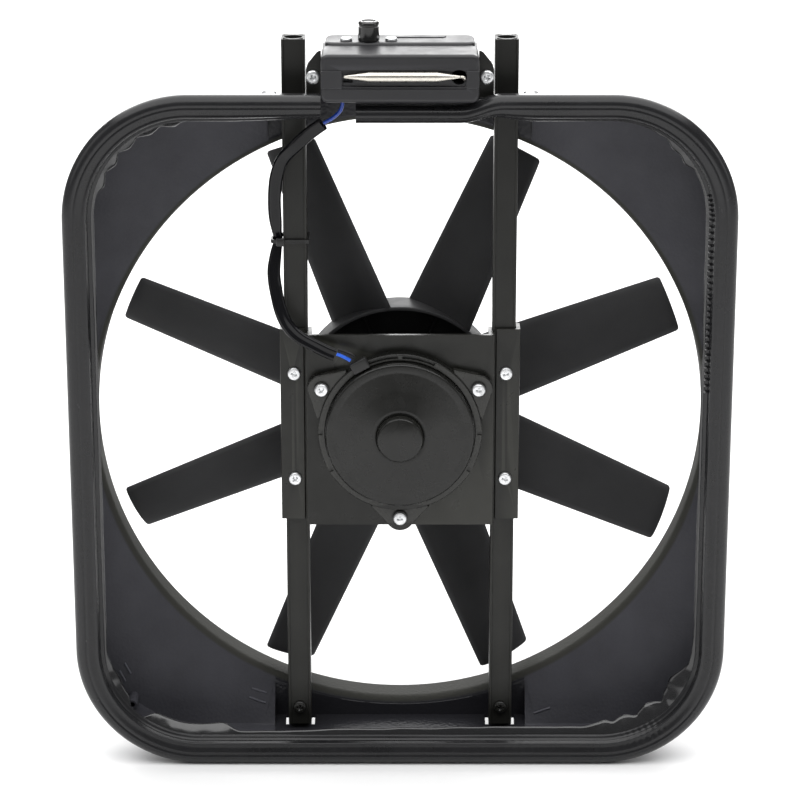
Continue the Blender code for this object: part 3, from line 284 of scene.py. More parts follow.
def tube(points, size_at, sides=20, crease_at=None):
    """A tube along points; size_at gives its half width and half depth at each point.

    crease_at gives the depth of a valley along its front, as a share of the tube's radius.
    """
    rows = []
    last = len(points) - 1
    for i, point in enumerate(points):
        along = (points[min(i + 1, last)] - points[max(i - 1, 0)]).normalized()
        across = along.cross(Vector((0.0, 1.0, 0.0))).normalized()
        through = across.cross(along)
        wide, deep = size_at(point, i / last)
        valley = crease_at(i / last) if crease_at else 0.0
        facing = -1.0 if through.y > 0.0 else 1.0
        row = []
        for a, b in circle((0.0, 0.0), 1.0, sides):
            pinch = 1.0 - valley * max(0.0, b * facing) ** 8
            row.append(point + across * a * wide + through * b * deep * pinch)
        rows.append(row)
    return loft(rows)


# ==== Making pieces ====
def merged(drawings):
    """Put several drawings into one."""
    whole = bmesh.new()
    for drawing in drawings:
        mesh = bpy.data.meshes.new("part")
        drawing.to_mesh(mesh)
        drawing.free()
        whole.from_mesh(mesh)
        bpy.data.meshes.remove(mesh)
    return whole


def finish_mesh(bm, name):
    """Scale a drawing to metres in the model's frame, facing outwards."""
    bm.transform(Matrix.Translation(ORIGIN) @ Matrix.Scale(MM, 4))
    if bm.calc_volume(signed=True) < 0.0:
        bmesh.ops.reverse_faces(bm, faces=bm.faces)
    mesh = bpy.data.meshes.new(name)
    bm.to_mesh(mesh)
    bm.free()
    return mesh


def link(name, data):
    obj = bpy.data.objects.new(name, data)
    bpy.context.scene.collection.objects.link(obj)
    return obj


def solid(name, drawing):
    return link(name, finish_mesh(drawing, name))


def applied(obj):
    """Replace an object's mesh by what its modifiers make of it."""
    graph = bpy.context.evaluated_depsgraph_get()
    mesh = bpy.data.meshes.new_from_object(obj.evaluated_get(graph))
    obj.modifiers.clear()
    obj.data = mesh
    return obj


def combine(obj, tools, operation="DIFFERENCE"):
    """Cut or join drawings into an object, one after another."""
    for bm in tools:
        tool = solid("tool", bm)
        modifier = obj.modifiers.new("boolean", "BOOLEAN")
        modifier.operation = operation
        modifier.solver = "EXACT"
        modifier.object = tool
        applied(obj)
        bpy.data.objects.remove(tool, do_unlink=True)
    return obj


def soften(obj, width, segments=3, angle=40.0):
    """Round the sharp edges of an object."""
    modifier = obj.modifiers.new("edges", "BEVEL")
    modifier.width = width * MM
    modifier.segments = segments
    modifier.limit_method = "ANGLE"
    modifier.angle_limit = math.radians(angle)
    modifier.use_clamp_overlap = True
    return applied(obj)


def piece(name, drawing, material, slot, stands_for=(), body="housing", sharp=35.0, flat_faces=False):
    """Finish a drawing or an object as a named piece that rides on a body.

    flat_faces keeps the shading of large flat faces level up to their rounded edges.
    """
    obj = drawing
    if isinstance(drawing, bmesh.types.BMesh):
        obj = solid(name, drawing)
    obj.name = name
    obj.data.name = name
    obj.data.materials.clear()
    obj.data.materials.append(material)
    obj.data.shade_smooth()
    obj.data.set_sharp_from_angle(angle=math.radians(sharp))
    if flat_faces:
        modifier = obj.modifiers.new("normals", "WEIGHTED_NORMAL")
        modifier.keep_sharp = True
        applied(obj)
        obj.data.name = name
    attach(obj, body)
    if stands_for:
        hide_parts(*stands_for)
    return obj


# ==== Materials ====
# Where the shroud's recess and ring finishes, with the painted shade on both, fade into its grain, in metres
# from the axis.
RECESS_SIDE = (0.0835, 0.0845)
RECESS_FLOOR = (0.1826, 0.1834)
THROAT_EDGE = (0.2014, 0.2030)


class Nodes:
    """A small helper that builds one procedural material on object coordinates."""

    def __init__(self, name, roughness, metallic=0.0, specular=0.5):
        self.material = bpy.data.materials.new(name)
        self.material.use_nodes = True
        self.tree = self.material.node_tree
        self.shader = self.tree.nodes["Principled BSDF"]
        self.feed(self.shader, {
            "Roughness": roughness, "Metallic": metallic, "Specular IOR Level": specular,
        })
        self.place = self.add("ShaderNodeTexCoord", "Object", {})

    def feed(self, node, inputs):
        """Set a node's inputs to plain values, or link them to the outputs of other nodes."""
        for socket, source in inputs.items():
            if isinstance(source, (int, float, tuple)):
                node.inputs[socket].default_value = source
            else:
                self.tree.links.new(source, node.inputs[socket])

    def add(self, kind, output, inputs, **settings):
        """Add a node and return one of its outputs."""
        node = self.tree.nodes.new(kind)
        for key, value in settings.items():
            setattr(node, key, value)
        self.feed(node, inputs)
        return node.outputs[output]

    def stretched(self, scale):
        return self.add("ShaderNodeMapping", "Vector", {"Vector": self.place, "Scale": scale})

    def grain(self, scale, detail=3.0, vector=None):
        """Noise in the range 0 to 1; the scale is in features per metre."""
        return self.add("ShaderNodeTexNoise", "Fac", {
            "Vector": vector or self.place, "Scale": scale, "Detail": detail, "Roughness": 0.55,
        })

    def cells(self, scale):
        return self.add("ShaderNodeTexVoronoi", "Distance", {"Vector": self.place, "Scale": scale})

    def span(self, source, low, high, start=0.3, end=0.7):
        """Map a value to a new range, limited at both ends."""
        return self.add("ShaderNodeMapRange", "Result", {
            "Value": source, "From Min": start, "From Max": end, "To Min": low, "To Max": high,
        })

    def blend(self, factor, first, second):
        """Blend two colours."""
        first, second = [(*c, 1.0) if isinstance(c, tuple) else c for c in (first, second)]
        return self.add("ShaderNodeMix", 2, {0: factor, 6: first, 7: second}, data_type="RGBA")

    def mixed(self, factor, first, second):
        """Blend two plain values."""
        return self.add("ShaderNodeMix", 0, {0: factor, 2: first, 3: second}, data_type="FLOAT")

    def mottled(self, cloud, shade, dark, light):
        """A shade that drifts between a darker and a lighter tint of itself."""
        return self.blend(self.span(cloud, 0.0, 1.0), tint(shade, dark), tint(shade, light))

    def calculate(self, operation, *values):
        return self.add("ShaderNodeMath", 0, dict(enumerate(values)), operation=operation)

    def recess_mask(self):
        """1 inside the shroud's top and bottom recesses, 0 elsewhere."""
        x, z = [self.add("ShaderNodeSeparateXYZ", axis, {"Vector": self.place}) for axis in "XZ"]
        aside = self.calculate("ABSOLUTE", x)
        away = self.calculate("ABSOLUTE", self.calculate("SUBTRACT", z, ORIGIN.z))
        return self.calculate(
            "MULTIPLY", self.span(aside, 1.0, 0.0, *RECESS_SIDE), self.span(away, 0.0, 1.0, *RECESS_FLOOR)
        )

    def throat_mask(self):
        """1 on the ring and its flare round the fan, 0 on the funnel outside it."""
        flat = self.stretched((1.0, 0.0, 1.0))
        away = self.add(
            "ShaderNodeVectorMath", "Value", {0: flat, 1: (0.0, 0.0, ORIGIN.z)}, operation="DISTANCE"
        )
        return self.span(away, 1.0, 0.0, *THROAT_EDGE)

    def edges(self, low=0.52, high=0.60):
        """1 on worn convex edges, 0 on flat faces."""
        return self.span(self.add("ShaderNodeNewGeometry", "Pointiness", {}), 0.0, 1.0, low, high)

    def finish(self, colour, roughness, bumps):
        """Drive the shader, with (height, strength, distance in mm) bumps stacked on its normal."""
        normal = {}
        for height, strength, distance in bumps:
            inputs = {"Strength": strength, "Distance": distance * MM, "Height": height, **normal}
            normal = {"Normal": self.add("ShaderNodeBump", "Normal", inputs)}
        self.feed(self.shader, {"Base Color": colour, "Roughness": roughness, **normal})
        return self.material


def tint(shade, lift):
    return tuple(channel * lift for channel in shade)


def moulded(name, shade, roughness, depth=0.5, specular=0.35, streak=0.0, leather=False):
    """Moulded plastic: fine spark-eroded grain, cloudy tone and slightly paler worn edges.

    Leather adds the shroud's coarser cellular grain, polishes its recesses and darkens them as painted shade,
    and dulls its ring, tinted darker olive as painted shade.
    """
    n = Nodes(name, roughness, specular=specular)
    fine = n.grain(2600.0, 2.0)
    tone = n.mottled(n.grain(22.0, 4.0), shade, 0.82, 1.18)
    tone = n.blend(n.span(fine, 0.0, 0.35), tone, tint(shade, 1.5))
    tone = n.blend(n.edges(), tone, tint(shade, 2.1))
    rough = n.span(n.grain(60.0, 5.0), roughness - 0.07, roughness + 0.08)
    bumps = [(fine, depth, 0.05), (n.grain(910.0, 2.0), depth * 0.6, 0.05)]
    if leather:
        polish_and_painted_shade = n.recess_mask()
        throat = n.throat_mask()
        # Painted shade: the recesses are coloured at half the shade, for the shade falling into them; their
        # lower roughness is the polish.
        tone = n.blend(polish_and_painted_shade, tone, tint(shade, 0.5))
        # Painted shade: the ring and flare are tinted a little darker and olive, for the shade on the flare;
        # roughness and specular give the duller finish.
        tone = n.blend(throat, tone, (shade[0] * 0.95, shade[0] * 0.95, shade[0] * 0.84))
        rough = n.mixed(throat, n.mixed(polish_and_painted_shade, rough, 0.22), 0.62)
        n.feed(n.shader, {"Specular IOR Level": n.mixed(throat, specular, specular * 0.4)})
        bumps.append((n.cells(430.0), 0.7, 0.2))
    if streak:
        bumps.append((n.grain(900.0, 2.0, n.stretched((1.0, 1.0, 0.02))), streak, 0.06))
    return n.finish(tone, rough, bumps)


def rubber(name, shade):
    """Extruded seal rubber: satin, with dust in its fine surface and paler edges."""
    n = Nodes(name, 0.25, specular=0.36)
    n.feed(n.shader, {"Sheen Weight": 0.03, "Sheen Roughness": 0.5})
    cloud = n.grain(35.0, 5.0)
    tone = n.mottled(cloud, shade, 0.8, 1.25)
    tone = n.blend(n.span(n.grain(420.0, 6.0), 0.0, 0.25, 0.5, 0.75), tone, tint(shade, 2.4))
    tone = n.blend(n.edges(0.51, 0.58), tone, tint(shade, 1.7))
    bumps = [(n.grain(1800.0), 0.25, 0.04), (n.grain(160.0), 0.25, 0.12)]
    return n.finish(tone, n.span(cloud, 0.19, 0.28), bumps)


def enamel(name, shade, roughness, specular):
    """Baked enamel on steel: faint orange peel and rubbed edges."""
    n = Nodes(name, roughness, specular=specular)
    tone = n.mottled(n.grain(30.0, 4.0), shade, 0.8, 1.2)
    tone = n.blend(n.edges(0.53, 0.62), tone, tint(shade, 3.0))
    rough = n.span(n.grain(90.0, 4.0), roughness - 0.06, roughness + 0.09)
    return n.finish(tone, rough, [(n.grain(420.0, 2.0), 0.12, 0.06), (n.grain(2400.0, 1.0), 0.15, 0.02)])


def plated(name, shade, roughness, lines=(1.0, 1.0, 1.0), dull=0.55, wear=1.0):
    """Plated metal: bright, with fine drawn lines and duller, darker patches."""
    n = Nodes(name, roughness, metallic=1.0)
    cloud = n.grain(260.0, 4.0)
    marks = n.grain(2600.0, 3.0, n.stretched(lines))
    tone = n.blend(n.span(cloud, 0.0, 1.0, 0.35, 0.7), shade, tint(shade, dull))
    tone = n.blend(n.span(marks, 0.0, 0.4 * wear), tone, tint(shade, 0.7))
    rough = n.span(cloud, roughness - 0.08 * wear, roughness + 0.16 * wear)
    bumps = [(marks, 0.2 * wear, 0.02 * wear), (n.grain(500.0, 2.0), 0.1 * wear, 0.04 * wear)]
    return n.finish(tone, rough, bumps)


def glossy(name, shade, roughness, coat, specular=0.5):
    """Smooth vinyl or polished plastic with light scuffs."""
    n = Nodes(name, roughness, specular=specular)
    n.feed(n.shader, {"Coat Weight": coat, "Coat Roughness": 0.12})
    tone = n.mottled(n.grain(70.0, 4.0), shade, 0.85, 1.2)
    rough = n.span(n.grain(300.0, 5.0), roughness, roughness + 0.12, 0.4, 0.8)
    return n.finish(tone, rough, [(n.grain(350.0, 2.0), 0.1, 0.08), (n.grain(3000.0, 1.0), 0.08, 0.02)])


SHROUD_PLASTIC = moulded("shroud_plastic", (0.042, 0.042, 0.049), 0.50, 0.6, 0.22, leather=True)
RAIL_PLASTIC = moulded("rail_plastic", (0.012, 0.012, 0.0105), 0.40, 0.25, 0.3, streak=0.35)
BLADE_PLASTIC = moulded("blade_plastic", (0.030, 0.030, 0.031), 0.55, 0.35, 0.12)
CASE_PLASTIC = moulded("case_plastic", (0.016, 0.016, 0.018), 0.42, 0.5, 0.45)
SEAL_RUBBER = rubber("seal_rubber", (0.0095, 0.0095, 0.0105))
SEAL_FILM = glossy("seal_film", (0.008, 0.008, 0.009), 0.16, 0.6)
PLATE_ENAMEL = enamel("plate_enamel", (0.010, 0.010, 0.0085), 0.32, 0.32)
MOTOR_ENAMEL = enamel("motor_enamel", (0.010, 0.010, 0.009), 0.24, 0.36)
ZINC = plated("zinc_plate", (0.90, 0.91, 0.92), 0.34, dull=0.75)
STEEL = plated("ground_steel", (0.50, 0.50, 0.52), 0.30, (1.0, 0.05, 1.0))
NICKEL = plated("nickel_plate", (0.722, 0.689, 0.622), 0.27, (0.05, 1.0, 1.0), 0.93, 0.25)
BRONZE = plated("sintered_bronze", (0.42, 0.28, 0.13), 0.50)
COPPER = plated("copper_wire", (0.70, 0.32, 0.16), 0.34, (0.1, 1.0, 0.1))
KNOB_GLOSS = glossy("knob_gloss", (0.008, 0.008, 0.008), 0.10, 0.8)
BLACK_VINYL = glossy("black_vinyl", (0.004, 0.004, 0.005), 0.10, 0.0, 0.26)
BLUE_VINYL = glossy("blue_vinyl", (0.002, 0.100, 0.66), 0.26, 0.2)
NAVY_VINYL = glossy("navy_vinyl", (0.004, 0.040, 0.30), 0.26, 0.2)
BLACK_NYLON = moulded("black_nylon", (0.012, 0.012, 0.012), 0.34, depth=0.2)
FERRITE = moulded("ferrite", (0.06, 0.06, 0.065), 0.7, depth=0.6)
CARBON = moulded("pressed_carbon", (0.02, 0.02, 0.02), 0.6, depth=0.5)


# ==== Shroud ====
CORNER_STEPS = 26
SIDE_STEPS = 22
END_STEPS = 20


def rounded_outline(half_width, half_height, corner):
    """A rounded rectangle as (x, z) points, anticlockwise from the +X side's middle."""
    cx = half_width - corner
    cz = half_height - corner
    quarter = [(half_width, cz * i / SIDE_STEPS) for i in range(SIDE_STEPS)]
    quarter += arc((cx, cz), corner, 0.0, 90.0, CORNER_STEPS)
    quarter += [(cx * (1 - i / END_STEPS), half_height) for i in range(1, END_STEPS)]
    upper = quarter + [(0.0, half_height)] + [(-x, z) for x, z in reversed(quarter[1:])]
    return upper + [(-x, -z) for x, z in upper]


def shroud_rows(outward):
    """Rings of the shroud's skin: outward 0 is the inner skin, and WALL the outer one."""
    half_width = SEAL_HALF_WIDTH - SEAL_COVER - WALL + outward
    half_height = SEAL_HALF_HEIGHT - SEAL_COVER - WALL + outward
    corner = SEAL_CORNER - SEAL_COVER - WALL + outward
    back = FUNNEL_START + outward * 0.8
    run = back - WALL_STRAIGHT
    front = rounded_outline(half_width, half_height, corner)
    shrunk = rounded_outline(
        half_width - run * DRAFT_WIDTH, half_height - run * DRAFT_HEIGHT, corner - run * DRAFT_WIDTH
    )
    angles = [math.atan2(z, x) for x, z in shrunk]

    def ring(radius, y):
        return [(radius * math.cos(a), y, radius * math.sin(a)) for a in angles]

    flare = [(0.0, PLATE_FRONT + 0.5), (0.35, PLATE_FRONT + 1.0), (0.68, PLATE_FRONT + 2.2)]
    flare += [(0.88, PLATE_FRONT + 3.8), (1.0, PLATE_FRONT + 6.0)]
    rows = [[(x, WALL_FRONT, z) for x, z in front], [(x, WALL_STRAIGHT, z) for x, z in front]]
    inset = [(x * 0.9965, back, z * 0.9965) for x, z in shrunk]
    rows.append([(x, back - 1.6, z) for x, z in shrunk])
    rows.append(inset)
    for share, y in flare:
        radius = FLARE_RADIUS + (RING_RADIUS - FLARE_RADIUS) * share
        rows.append(ring(radius + outward * max(0.2, share), y + outward * (1.0 - 0.4 * share)))
    rows.append(ring(RING_RADIUS + outward, RING_BACK))
    return rows


def wall_height(y, outward):
    """Half height of the top or bottom wall's skin at a depth behind the straight rim."""
    return SEAL_HALF_HEIGHT - SEAL_COVER - WALL + outward - (y - WALL_STRAIGHT) * DRAFT_HEIGHT


def recess(front, back, half_width, skin, side):
    """A wedge across the top or bottom of the shroud, just inside one skin of the wall."""
    heights = [wall_height(y, skin) - 0.05 for y in (back, front)]
    outline = [(front, RECESS_DEPTH), (back, RECESS_DEPTH), (back, heights[0]), (front, heights[1])]
    return prism([[(y, z * side) for y, z in outline]], -half_width, half_width, "X")


def mirrored_box(low, high, side):
    """A plain box given for the right side, or its mirror image on the left."""
    edges = sorted((low[0] * side, high[0] * side))
    return block((edges[0], low[1], low[2]), (edges[1], high[1], high[2]))


# Raised marks on the funnel, each between two (x, z) spots.
FUNNEL_MARKS = (
    ((-184.3, -170.0), (-180.4, -177.5)), ((-187.8, -175.0), (-184.0, -182.5)),
    ((-99.7, -190.8), (-89.9, -194.0)), ((-101.5, -196.4), (-90.5, -200.2)),
    ((90.0, -206.5), (101.0, -203.0)),
)
MARK_RADIUS = 0.75
EYELET = (-178.5, 0.0, -193.5)


def moulded_mark(surface, start, end):
    """A small raised bead on the funnel's front, between two (x, z) spots."""
    ends = []
    for x, z in (start, end):
        origin = ORIGIN + Vector((x, 20.0, z)) * MM
        ends.append((surface.ray_cast(origin, Vector((0.0, 1.0, 0.0)))[0] - ORIGIN) / MM)
    return rod(MARK_RADIUS, ends[0], ends[1], 12)


def build_shroud():
    shroud = solid("shroud_shell", loft(shroud_rows(WALL)))
    back = PLATE_FRONT + WALL
    combine(shroud, [recess(30.0, back, RECESS_HALF_WIDTH + WALL, WALL, side) for side in (1, -1)], "UNION")
    rows = shroud_rows(0.0)
    rows[0] = [(x, WALL_FRONT - 3.0, z) for x, _, z in rows[0]]
    rows[-1] = [(x, RING_BACK + 3.0, z) for x, _, z in rows[-1]]
    combine(shroud, [loft(rows)])
    combine(shroud, [recess(20.0, PLATE_FRONT, RECESS_HALF_WIDTH, 0.0, side) for side in (1, -1)])
    combine(shroud, [
        block((-49.6, 0.0, 205.0), (76.0, WALL_STRAIGHT + 0.3, 230.0)),
        block((-59.0, WALL_STRAIGHT, 207.0), (59.0, 24.3, 232.0)),
    ])
    for side in (-1, 1):
        pad = mirrored_box((77.0, 15.0, 214.0), (87.0, 33.0, 221.9), side)
        bmesh.ops.bevel(pad, geom=pad.edges[:], offset=2.4, segments=4, profile=0.5, affect="EDGES")
        combine(shroud, [pad, mirrored_box((50.6, 22.3, 215.0), (57.8, 36.0, 240.0), side)], "UNION")
        centre = RAIL_X * side
        combine(shroud, [
            block((centre - 7.8, 37.4, 203.0), (centre + 7.8, PLATE_FRONT + 0.5, 235.0)),
            block((centre - 9.7, 44.0, -230.0), (centre - 7.5, PLATE_FRONT, -205.0)),
            block((centre + 7.5, 44.0, -230.0), (centre + 9.7, PLATE_FRONT, -205.0)),
            bore(2.0, centre, FOOT_SCREW_Z, 50.0, 70.0),
            bore(1.9, BRACKET_SCREW[0] * side, BRACKET_SCREW[1], 15.0, 34.0),
        ])
    drawing = bmesh.new()
    drawing.from_mesh(shroud.data)
    surface = BVHTree.FromBMesh(drawing)
    drawing.free()
    beads = merged([moulded_mark(surface, start, end) for start, end in FUNNEL_MARKS])
    piece("funnel_marks", beads, SHROUD_PLASTIC, "moulded_plastic")
    soften(shroud, 0.45, 2, 50.0)
    piece("shroud_shell", shroud, SHROUD_PLASTIC, "moulded_plastic", ["shroud"], sharp=40.0, flat_faces=True)
    eyelet = lathe([(1.8, 30.0), (3.5, 30.0), (3.5, 45.6), (1.8, 45.6)], 28, EYELET)
    eyelet = soften(solid("corner_eyelet", eyelet), 0.4, 2)
    piece("corner_eyelet", eyelet, SHROUD_PLASTIC, "moulded_plastic")


# ==== Rim seal ====
# Points of the seal's section: distance in from its edge, and depth behind its front plane.
SEAL_SECTION = (
    (0.0, 9.0), (0.0, 6.5), (0.1, 5.4), (0.5, 4.2), (1.2, 3.1), (2.2, 2.1), (3.4, 1.3), (4.6, 0.8),
    (5.8, 0.5), (6.6, 0.75), (7.1, 1.25), (7.6, 1.3), (8.0, 1.0), (8.8, 0.9), (9.8, 1.1), (11.4, 1.7),
    (13.0, 2.2), (14.2, 2.3), (15.0, 1.9), (15.8, 1.9), (16.3, 2.5), (16.5, 3.6), (16.8, 5.2),
    (17.6, 6.3), (18.8, 7.0), (19.8, 7.5), (20.4, 8.1), (20.2, 8.9), (18.0, 8.2), (15.6, 6.8),
    (13.0, 5.2), (8.8, 5.0), (8.6, 11.2), (8.2, 11.6), (6.0, 11.6), (5.8, 11.2), (5.8, 3.4),
    (2.7, 3.4), (2.7, 12.2), (2.3, 12.6), (0.7, 12.6), (0.2, 12.0),
)
BEAD_WIDTH = 8.0
SIDE_WIDTH = 18.6
FOOT_WIDTH = 19.0
HEAD_WIDTH = 17.0
SECTION_WIDTH = 20.4
NARROW_WIDTH = 11.8
SEAL_STEP = 1.35
SEAL_START_X = -27.4
SEAL_END_X = -49.0
SEAL_DIP = 6.4
DIP_FROM = 37.0
DIP_TO = 64.0
# Where the inner flap is gathered: start and end along the seal, extra reach, length of the ends.
FLAP_SWELLS = (
    (205.0, 244.0, 2.6, 12.0), (586.0, 712.0, 4.2, 20.0), (936.0, 1018.0, 4.6, 13.0),
    (1028.0, 1084.0, 4.2, 34.0), (1396.0, 1500.0, 3.0, 10.0),
)
# Single folds in it: distance along the seal, extra reach and length; below 0 is a notch.
FLAP_FOLDS = (
    (216.0, 1.6, 5.0), (233.0, 2.0, 5.0), (612.0, 2.4, 8.0), (634.0, -3.2, 4.5), (649.0, 1.8, 6.0),
    (663.0, -1.8, 4.0), (674.0, 1.0, 5.0), (686.0, -1.6, 4.5), (868.0, 0.8, 22.0), (947.0, 1.0, 7.0),
    (1021.0, -6.5, 8.0), (1036.0, 1.4, 7.0), (1406.0, 1.2, 4.5), (1417.0, -1.8, 3.5),
    (1428.0, 2.2, 5.0), (1438.0, -1.8, 3.5), (1447.0, 1.8, 5.0), (1458.0, -1.8, 3.5),
    (1469.0, 2.2, 5.0), (1480.0, -1.8, 3.5), (1490.0, 1.6, 5.0),
)
# Close ribs in the lip: where they run, their pitch and height, and how they fade at the ends.
RIBBED_RUNS = ((640.0, 692.0), (738.0, 764.0))
RIB_PITCH = 5.4
RIB_HEIGHT = 0.30
RIB_FADE = 14.0
NUB_RUN = (262.0, 400.0)
NUB_PITCH = 4.0
NUB_INWARD = 17.6
NUB_DEPTH = 6.1
# The flap leaves the lip at FLAP_ROOT, a distance in and a depth.  It reaches further along the
# foot: FOOT_REACH holds where that starts, is full, starts to fall and ends.
FLAP_ROOT = (12.0, 7.0)
FLAP_EDGE_DEPTH = 11.0
FLAP_THICKNESS = 0.8
FLAP_STEPS = 12
FOOT_REACH = (560.0, 620.0, 760.0, 930.0)


def eased(value, start, end):
    """0 before start, 1 after end, with a smooth change between."""
    share = min(1.0, max(0.0, (value - start) / (end - start)))
    return share * share * (3.0 - 2.0 * share)


def between(value, start, risen, falling, end):
    """0 outside start and end, 1 from risen to falling, with smooth changes."""
    return eased(value, start, risen) * (1.0 - eased(value, falling, end))


def lip_width(x, nx, nz):
    """Width of the seal: widest on the sides, and narrow where it runs under the controller."""
    across = FOOT_WIDTH if nz < 0.0 else HEAD_WIDTH
    width = SIDE_WIDTH * nx * nx + across * nz * nz
    if nz > 0.999 and x > SEAL_START_X - 1.0:
        return NARROW_WIDTH + (width - NARROW_WIDTH) * eased(x, DIP_FROM, DIP_TO + 22.0)
    if nz > 0.999:
        return width - 1.6 * eased(x, -110.0, SEAL_END_X)
    return width


def seal_path():
    """Stations (x, z, outward x, outward z, dip, distance) clockwise from the gap at the top."""
    cx = SEAL_HALF_WIDTH - SEAL_CORNER
    cz = SEAL_HALF_HEIGHT - SEAL_CORNER
    quarter = SEAL_CORNER * math.pi / 2
    # Each straight: its start, end and outward normal, and the centre of the corner that follows.
    straights = (
        ((SEAL_START_X, SEAL_HALF_HEIGHT), (cx, SEAL_HALF_HEIGHT), (0.0, 1.0), (cx, cz)),
        ((SEAL_HALF_WIDTH, cz), (SEAL_HALF_WIDTH, -cz), (1.0, 0.0), (cx, -cz)),
        ((cx, -SEAL_HALF_HEIGHT), (-cx, -SEAL_HALF_HEIGHT), (0.0, -1.0), (-cx, -cz)),
        ((-SEAL_HALF_WIDTH, -cz), (-SEAL_HALF_WIDTH, cz), (-1.0, 0.0), (-cx, cz)),
        ((-cx, SEAL_HALF_HEIGHT), (SEAL_END_X, SEAL_HALF_HEIGHT), (0.0, 1.0), None),
    )
    path = []
    travelled = 0.0
    for number, (start, end, normal, centre) in enumerate(straights):
        start = Vector(start)
        end = Vector(end)
        length = (end - start).length
        count = round(length / SEAL_STEP)
        for i in range(count if centre else count + 1):
            spot = start.lerp(end, i / count)
            dip = 0.0 if number else SEAL_DIP * (1.0 - eased(spot.x, DIP_FROM, DIP_TO))
            path.append((spot.x, spot.y, *normal, dip, travelled + length * i / count))
        travelled += length
        if centre:
            count = round(quarter / SEAL_STEP)
            for i in range(count):
                angle = math.radians(90.0 - 90.0 * number - 90.0 * i / count)
                nx = math.cos(angle)
                nz = math.sin(angle)
                x = centre[0] + SEAL_CORNER * nx
                z = centre[1] + SEAL_CORNER * nz
                path.append((x, z, nx, nz, 0.0, travelled + quarter * i / count))
            travelled += quarter
    return path


def folds_at(distance):
    """How far the gathered folds swell the flap at a distance along the seal."""
    swell = 0.0
    for start, end, height, run in FLAP_SWELLS:
        swell += height * between(distance, start, start + run, end - run, end)
    for centre, height, length in FLAP_FOLDS:
        swell += height * math.exp(-((distance - centre) / length) ** 2)
    return max(-5.0, swell)


def seal_ripple(distance, inward):
    """Shift of the seal's front: slow waves, and close ribs where the strip is gathered."""
    shift = 0.35 * noise.noise(Vector((distance / 38.0, inward / 9.0, 2.0)))
    for start, end in RIBBED_RUNS:
        window = between(distance, start, start + RIB_FADE, end - RIB_FADE, end)
        shift += RIB_HEIGHT * window * math.sin(distance * 2.0 * math.pi / RIB_PITCH)
    return shift * eased(inward, 9.0, 12.0)


def flap_row(spot, distance, bend):
    """The thin inner flap at one station, front and back, with its folds and creases."""
    swell = folds_at(distance)
    wave = noise.noise(Vector((distance / 21.0, 5.0, 0.0)))
    edge = SECTION_WIDTH + 1.0 + 3.4 * between(distance, *FOOT_REACH) + swell + 0.6 * wave
    edge_depth = FLAP_EDGE_DEPTH + 0.55 * swell
    front = []
    back = []
    for i in range(FLAP_STEPS + 1):
        t = i / FLAP_STEPS
        crease = noise.noise(Vector((distance / 8.5, t * 1.6, 9.0)))
        depth = FLAP_ROOT[1] + (edge_depth - FLAP_ROOT[1]) * t - 0.28 * swell * math.sin(math.pi * t)
        depth += t * (0.25 + 0.5 * bend) * crease
        inward = FLAP_ROOT[0] + (edge - FLAP_ROOT[0]) * t
        front.append(spot(inward, depth))
        back.append(spot(inward + (0.3 if i == FLAP_STEPS else 0.0), depth + FLAP_THICKNESS))
    return front + back[::-1]


def build_seal():
    strip = []
    flap = []
    nubs = []
    for x, z, nx, nz, dip, distance in seal_path():
        squeeze = (lip_width(x, nx, nz) - BEAD_WIDTH) / (SECTION_WIDTH - BEAD_WIDTH)

        def spot(inward, depth):
            if inward > BEAD_WIDTH:
                inward = BEAD_WIDTH + (inward - BEAD_WIDTH) * squeeze
            return (x - nx * inward, depth, z - nz * inward - dip)

        strip.append([
            spot(inward, max(0.5, depth + seal_ripple(distance, inward))) for inward, depth in SEAL_SECTION
        ])
        flap.append(flap_row(spot, distance, 1.0 - abs(nx * nx - nz * nz)))
        if NUB_RUN[0] < distance < NUB_RUN[1] and distance % NUB_PITCH < SEAL_STEP:
            nub = block((-0.75, -0.5, -0.9), (0.75, 0.9, 0.9), 0.4, 2)
            nubs.append(moved(nub, (x - nx * NUB_INWARD, NUB_DEPTH, z - nz * NUB_INWARD)))
    piece("seal_strip", loft(strip), SEAL_RUBBER, "seal_rubber", ["rim_seal"], sharp=60.0)
    piece("seal_flap", loft(flap), SEAL_FILM, "seal_rubber", sharp=70.0)
    piece("seal_nubs", merged(nubs), SEAL_FILM, "seal_rubber")


# ==== Rails ====
def rail_outline():
    """Section of a rail, with a shallow groove down each edge of its front face."""
    half_x = RAIL_WIDTH / 2
    half_y = (RAIL_BACK - RAIL_FRONT) / 2
    outline = [
        (-half_x, -half_y), (-half_x + 1.5, -half_y), (-half_x + 1.7, -half_y + 0.5),
        (half_x - 1.7, -half_y + 0.5), (half_x - 1.5, -half_y), (half_x, -half_y),
        (half_x, half_y), (-half_x, half_y),
    ]
    return filleted(outline, 0.9)


def build_rail(label, side):
    x = RAIL_X * side
    loops = [rail_outline(), circle((0.0, 0.0), 5.7, 40)]
    for sx in (-1, 1):
        for sy in (-1, 1):
            pocket = ((6.3, 7.8), (6.3, 3.9), (4.4, 5.7), (2.6, 7.8))
            loops.append(filleted([(a * sx, b * sy) for a, b in pocket], 0.5, 3))
    profile = prism(loops, RAIL_FOOT, RAIL_TOP, "Z", 0.15, 1)
    rail = solid("rail", moved(profile, (x, (RAIL_FRONT + RAIL_BACK) / 2, 0.0)))
    combine(rail, [bore(SCREW_BORE, x, FOOT_SCREW_Z, 30.0, 47.0)])
    piece("rail_profile_" + label, rail, RAIL_PLASTIC, "rail_plastic", ["rail_" + label], flat_faces=True)


